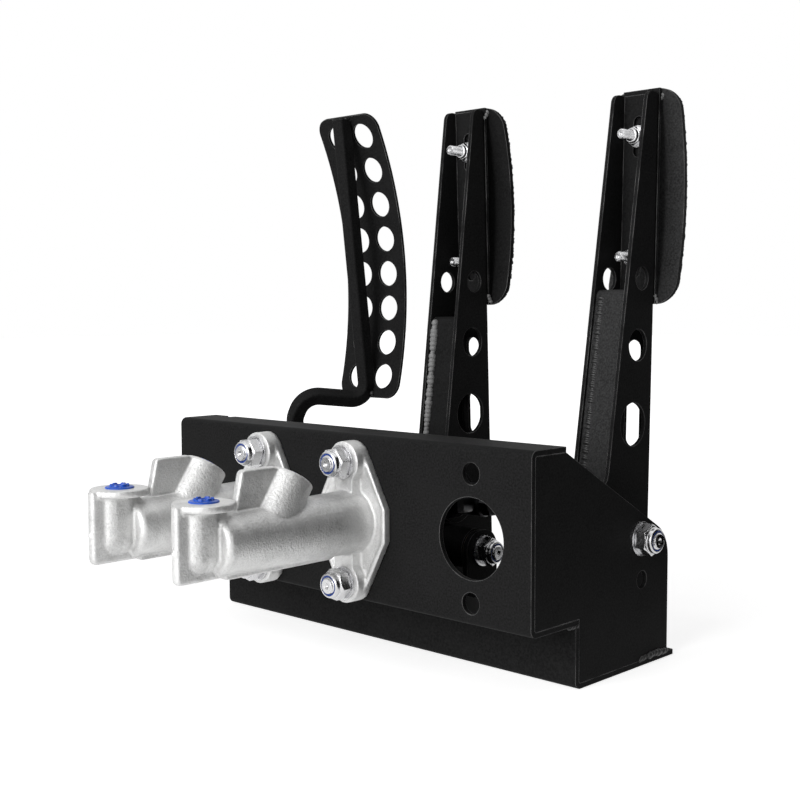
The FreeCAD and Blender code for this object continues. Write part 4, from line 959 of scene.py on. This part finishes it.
def lobed_ring(outer, inner, low, high, lobes, start):
    """Upright ring whose top rises and falls in lobes."""
    segments = lobes * 10
    verts = []
    walls = ((inner, False), (inner + 0.2 * mm, True), (outer - 0.3 * mm, True), (outer, False))
    for radius, at_top in walls:
        for i in range(segments):
            angle = 2 * math.pi * i / segments
            wave = 0.5 + 0.5 * math.cos(lobes * angle)
            wave = min(1.0, max(0.0, wave * 2.4 - 0.5))
            reach = radius - (0.3 * mm * (1 - wave) if radius > inner + 0.5 * mm else 0)
            height = low + (high - low) * (0.35 + 0.65 * wave) if at_top else low - 0.3 * mm
            local = Vector((reach * math.cos(angle), reach * math.sin(angle), height))
            verts.append(Vector(start) + local)
    return verts, ring_faces(4, segments)


def make_plugs():
    """Outlet plugs: thin rounded flange, shank in the port and a low lobed hat."""
    parts = []
    for low, high, centre in islands("outlet_plugs"):
        wide = (high.x - low.x) / 2
        start = Vector((centre.x, centre.y, low.z + plug_shank))
        rings = [(-plug_shank, 3.9 * mm), (-plug_shank, 4.9 * mm), (0, 4.9 * mm), (0, wide),
                 (0.3 * mm, wide), (0.65 * mm, wide - 0.25 * mm), (0.8 * mm, wide - 0.8 * mm),
                 (0.8 * mm, 0.0), (-0.2 * mm, 0.0), (-0.2 * mm, 3.9 * mm)]
        parts.append(lathe(rings, 60, start, (0, 0, 1)))
        parts.append(lobed_ring(outer=4.6 * mm, inner=3.0 * mm, low=0.9 * mm, high=1.9 * mm,
                                lobes=6, start=start))
    stand_in("outlet_plugs_moulded", parts, "box", "plug_plastic", "outlet_plugs")


# Rods inside the housing


def ball_rings(radius, centre):
    """Rings of a ball, from its near end to its far one."""
    steps = 14
    rings = []
    for i in range(steps + 1):
        share = -1 + 2 * i / steps
        rings.append((centre + radius * share, radius * math.sqrt(max(0.0, 1 - share * share))))
    return rings


def make_rods(context):
    """Threaded pushrods and the threaded balance bar with its ball."""
    pitch = context.scene.pedal_detail.thread_eight
    for side in ("left", "right"):
        low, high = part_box("pushrod_" + side)
        centre = (low + high) / 2
        ball = (high.x - low.x) / 2
        start = Vector((centre.x, low.y, centre.z))
        bare = ball + rod_neck
        rings = [(ball, 0.0), (ball, thread_radius), (bare, thread_radius), (bare, 0.0)]
        begin = Vector((centre.x, low.y + bare, centre.z))
        stand_in("pushrod_threaded_" + side, [
            lathe(ball_rings(ball, ball), 36, start, (0, 1, 0)),
            lathe(rings, 36, start, (0, 1, 0)),
            thread(thread_radius, pitch, high.y - begin.y, begin, (0, 1, 0), 36),
        ], side + "_pushrod", "zinc_steel", "pushrod_" + side, "black_steel")
    low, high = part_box("balance_bar")
    middle = (low + high) / 2
    ball = (high.z - low.z) / 2
    start = Vector((low.x, middle.y, middle.z))
    centre = sum(v.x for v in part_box("bias_bearing")) / 2 - low.x
    inner = ball + 3 * mm
    rings = [(centre - inner, 0.0), (centre - inner, bar_radius), (centre + inner, bar_radius),
             (centre + inner, 0.0)]
    left = start + Vector((centre - inner, 0, 0))
    right = start + Vector((centre + inner, 0, 0))
    ends = {"chamfer": 0.8 * mm, "dimple": 1.6 * mm}
    stand_in("balance_bar_threaded", [
        lathe(ball_rings(ball, centre), 48, start, (1, 0, 0)),
        lathe(rings, 40, start, (1, 0, 0)),
        thread(bar_radius, pitch, centre - inner, left, (-1, 0, 0), 36, **ends),
        thread(bar_radius, pitch, high.x - right.x, right, (1, 0, 0), 36, **ends),
    ], "balance_bar", "zinc_steel", "balance_bar", "black_steel")


# Grips


def make_grips(context):
    """Coarse grit skin on the driver's face of both pads."""
    detail = context.scene.pedal_detail
    for seed, pedal in enumerate(("brake", "clutch")):
        piece = settle(voxel_skin(pedal + "_pad_grip", pedal + "_grit", detail.grit_grid))
        piece = grow(piece, grit_tree(), {"Depth": detail.grit_depth, "Grain": detail.grit_size,
                                          "Seed": 3.0 + seed, "Finish": finish_of("grip_coat")})
        shade(piece.data, 180)
        hand_over(piece, pedal, "grip_coat", pedal + "_pad_grip")


# Welds


def make_welds(context):
    """Weld beads along the seams of the housing and the pedals, on lines in millimetres."""
    pitch = context.scene.pedal_detail.bead_pitch
    runs = [
        ("brake_boxing_weld", "brake", "weld_bare", 1.9, 0.34, 0.62,
         [[(-20.6, 24.9, 159.6), (-20.3, 20.7, 126.0), (-20.7, 16.5, 91.0)]]),
        ("clutch_boxing_weld", "clutch", "weld_painted", 2.5, 0.2, 0.3,
         [[(81.6, 34.7, 171.0), (81.8, 20.3, 83.0)]]),
        ("throttle_welds", "throttle", "weld_painted", 1.5, 0.4, 0.4,
         [[(-90.5, 21.6, 274.8), (-84.5, 22.4, 274.8)], [(-90.5, 39.6, 117.6), (-84.0, 39.6, 117.6)]]),
        ("brake_strap_welds", "brake", "weld_bare", 1.1, 0.35, 0.35,
         [[(-3.6, 48.2, 273.6), (-3.9, 46.6, 270.6)], [(-3.6, 51.4, 171.2), (-3.9, 49.9, 174.2)]]),
        ("clutch_strap_welds", "clutch", "weld_bare", 1.1, 0.35, 0.35,
         [[(97.9, 62.4, 274.0), (97.6, 60.9, 271.0)], [(97.9, 58.4, 170.4), (97.6, 57.2, 173.4)]]),
        ("cheek_foot_welds", "box", "weld_painted", 1.2, 0.55, 0.62,
         [[(120.5, 12.0, 3.2), (120.8, 24.0, 3.9), (120.6, 33.5, 3.0)],
          [(-120.5, 12.0, 3.2), (-120.8, 24.0, 3.9), (-120.6, 33.5, 3.0)]]),
        ("step_welds", "box", "weld_painted", 1.2, 0.4, 0.5,
         [[(119.6, -43.0, 28.4), (119.6, -38.6, 28.4)], [(-119.6, -43.0, 28.4), (-119.6, -38.6, 28.4)]]),
    ]
    for number, (name, body, finish, width, uneven, spacing, lines) in enumerate(runs):
        piece = grow(path_object(name, lines), bead_tree(), {
            "Pitch": pitch * spacing, "Width": width * mm, "Lean": 0.6, "Uneven": uneven,
            "Seed": 11 + number, "Finish": finish_of(finish)})
        hand_over(piece, body, "powder_coat", finish=finish)


# Stage


def make_stage(context):
    """Pale floor, white surroundings, soft lamps, black cards and the camera."""
    stage = context.scene.pedal_stage
    scene = context.scene
    edge = 6.0
    corners = [(x * edge, y * edge, floor_level) for x, y in ((-1, -1), (1, -1), (1, 1), (-1, 1))]
    floor = mesh_piece("floor", corners, [(0, 1, 2, 3)])
    floor.data.materials.append(floor_finish(stage))
    world = bpy.data.worlds.new("surroundings")
    world.use_nodes = True
    scene.world = world
    nodes = Nodes(world.node_tree)
    back = world.node_tree.nodes["Background"]
    level = nodes.spread(nodes.white_rays(), 0.0, 1.0, stage.world_level, 1.0)
    nodes.feed(level, back.inputs["Strength"])
    back.inputs["Color"].default_value = (1, 1, 1, 1)
    lamps = [
        ("key", (-0.02, -1.75, 0.7), 1.2, stage.key_power),
        ("fill", (1.2, -0.9, 0.9), 1.0, stage.fill_power),
        ("top", (0.1, 0.3, 1.7), 1.6, stage.top_power),
    ]
    target = Vector((0, 0, 0.12))
    for name, spot, width, power in lamps:
        lamp = bpy.data.lights.new(name, "AREA")
        lamp.shape = "SQUARE"
        lamp.size = width
        lamp.energy = power
        holder = place(name, lamp)
        holder.location = spot
        holder.rotation_euler = (target - Vector(spot)).to_track_quat("-Z", "Y").to_euler()
    make_cards()
    add_camera(scene)
    scene.view_settings.view_transform = "Standard"


def make_cards():
    """Black cards that only reflections see: front left, right and on the floor at the right."""
    lift = 0.5 * mm
    cards = [
        [(-1.2, -0.25, 0.0), (-0.45, -1.0, 0.0), (-0.45, -1.0, 0.42), (-1.2, -0.25, 0.42)],
        [(0.7, -0.4, 0.0), (0.7, 1.6, 0.0), (0.7, 1.6, 1.2), (0.7, -0.4, 1.2)],
        [(0.32, -0.2, lift), (0.7, -0.2, lift), (0.7, 1.6, lift), (-0.5, 1.6, lift), (0.13, 0.2, lift)],
    ]
    dull = {"Base Color": (0.005, 0.005, 0.005, 1), "Specular IOR Level": 0.0}
    black = start_material("card_black", dull)[0]
    for number, corners in enumerate(cards):
        card = mesh_piece("card_" + str(number), corners, [tuple(range(len(corners)))])
        card.data.materials.append(black)
        card.visible_camera = False
        card.visible_shadow = False
        card.visible_diffuse = False


def floor_finish(stage):
    """Pale floor that keeps the shadow near the object and is white further out."""
    material, nodes, shader, point = start_material("floor_pale", {
        "Base Color": colour(stage.floor_tone), "Roughness": 0.9, "Specular IOR Level": 0.1,
        "Emission Color": (1, 1, 1, 1)})
    away = nodes.add("ShaderNodeVectorMath", {0: point}, operation="LENGTH").outputs["Value"]
    white = nodes.spread(away, 0.2, 1.0, stage.floor_white, 1.0)
    nodes.feed(nodes.math("MULTIPLY", nodes.white_rays(), white), shader.inputs["Emission Strength"])
    return material


def add_camera(scene):
    """Camera at the fitted place."""
    yaw, pitch, roll = (math.radians(v) for v in (camera_yaw, camera_pitch, camera_roll))
    ahead = Vector((-math.sin(yaw) * math.cos(pitch), math.cos(yaw) * math.cos(pitch), -math.sin(pitch)))
    right = Vector((math.cos(yaw), math.sin(yaw), 0))
    up = right.cross(ahead)
    across = right * math.cos(roll) + up * math.sin(roll)
    above = across.cross(ahead)
    lens = bpy.data.cameras.new("camera")
    lens.sensor_fit = "HORIZONTAL"
    lens.sensor_width = camera_sensor
    lens.lens = camera_lens
    lens.clip_start = 0.01
    holder = place("camera", lens)
    turn = Matrix((across, above, -ahead)).transposed()
    holder.matrix_world = Matrix.Translation(camera_place) @ turn.to_4x4()
    scene.camera = holder


# Operators


class PEDALBOX_OT_finishes(bpy.types.Operator):
    """Make the finishes and give them to the CAD nodes"""

    bl_idname = "pedalbox.finishes"
    bl_label = "Finishes"

    def execute(self, context):
        make_finishes(context)
        dress_cad_nodes()
        return {"FINISHED"}


class PEDALBOX_OT_castings(bpy.types.Operator):
    """Make the two master cylinder castings"""

    bl_idname = "pedalbox.castings"
    bl_label = "Castings"

    def execute(self, context):
        for side in ("left", "right"):
            make_casting(context, side)
        return {"FINISHED"}


class PEDALBOX_OT_lock_nuts(bpy.types.Operator):
    """Make the lock nuts and their plastic rings"""

    bl_idname = "pedalbox.lock_nuts"
    bl_label = "Lock nuts"

    def execute(self, context):
        make_lock_nuts()
        return {"FINISHED"}


class PEDALBOX_OT_bolts(bpy.types.Operator):
    """Make the flange and pivot bolts"""

    bl_idname = "pedalbox.bolts"
    bl_label = "Bolts"

    def execute(self, context):
        make_bolts(context)
        return {"FINISHED"}


class PEDALBOX_OT_pad_fasteners(bpy.types.Operator):
    """Make the pads' studs, washers and nuts"""

    bl_idname = "pedalbox.pad_fasteners"
    bl_label = "Pad fasteners"

    def execute(self, context):
        make_pad_fasteners(context)
        return {"FINISHED"}


class PEDALBOX_OT_plugs(bpy.types.Operator):
    """Make the outlet plugs"""

    bl_idname = "pedalbox.plugs"
    bl_label = "Plugs"

    def execute(self, context):
        make_plugs()
        return {"FINISHED"}


class PEDALBOX_OT_rods(bpy.types.Operator):
    """Make the threaded pushrods and the balance bar"""

    bl_idname = "pedalbox.rods"
    bl_label = "Rods"

    def execute(self, context):
        make_rods(context)
        return {"FINISHED"}


class PEDALBOX_OT_grips(bpy.types.Operator):
    """Make the grit on the pads"""

    bl_idname = "pedalbox.grips"
    bl_label = "Pad grips"

    def execute(self, context):
        make_grips(context)
        return {"FINISHED"}


class PEDALBOX_OT_welds(bpy.types.Operator):
    """Lay the weld beads"""

    bl_idname = "pedalbox.welds"
    bl_label = "Welds"

    def execute(self, context):
        make_welds(context)
        return {"FINISHED"}


class PEDALBOX_OT_stage(bpy.types.Operator):
    """Make the floor, the lamps, the black cards and the camera"""

    bl_idname = "pedalbox.stage"
    bl_label = "Stage"

    def execute(self, context):
        make_stage(context)
        return {"FINISHED"}


class PEDALBOX_PT_panel(bpy.types.Panel):
    """Lists the steps and their settings"""

    bl_idname = "PEDALBOX_PT_panel"
    bl_label = "Pedal Box"
    bl_space_type = "VIEW_3D"
    bl_region_type = "UI"
    bl_category = "Pedal Box"

    def draw(self, context):
        for operator in operators:
            self.layout.operator(operator.bl_idname)
        for settings in (context.scene.pedal_finish, context.scene.pedal_detail, context.scene.pedal_stage):
            box = self.layout.box()
            for name in settings.__annotations__:
                box.prop(settings, name)


operators = (
    PEDALBOX_OT_finishes,
    PEDALBOX_OT_castings,
    PEDALBOX_OT_lock_nuts,
    PEDALBOX_OT_bolts,
    PEDALBOX_OT_pad_fasteners,
    PEDALBOX_OT_plugs,
    PEDALBOX_OT_rods,
    PEDALBOX_OT_grips,
    PEDALBOX_OT_welds,
    PEDALBOX_OT_stage,
)
settings_groups = (
    ("pedal_finish", FinishSettings),
    ("pedal_detail", DetailSettings),
    ("pedal_stage", StageSettings),
)


def register():
    for name, group in settings_groups:
        bpy.utils.register_class(group)
        setattr(bpy.types.Scene, name, bpy.props.PointerProperty(type=group))
    for operator in operators:
        bpy.utils.register_class(operator)
    bpy.utils.register_class(PEDALBOX_PT_panel)


def unregister():
    bpy.utils.unregister_class(PEDALBOX_PT_panel)
    for operator in reversed(operators):
        bpy.utils.unregister_class(operator)
    for name, group in reversed(settings_groups):
        delattr(bpy.types.Scene, name)
        bpy.utils.unregister_class(group)


def main():
    register()
    bpy.ops.pedalbox.finishes()
    bpy.ops.pedalbox.castings()
    bpy.ops.pedalbox.lock_nuts()
    bpy.ops.pedalbox.bolts()
    bpy.ops.pedalbox.pad_fasteners()
    bpy.ops.pedalbox.plugs()
    bpy.ops.pedalbox.rods()
    bpy.ops.pedalbox.grips()
    bpy.ops.pedalbox.welds()
    bpy.ops.pedalbox.stage()


if __name__ == "__main__":
    main()
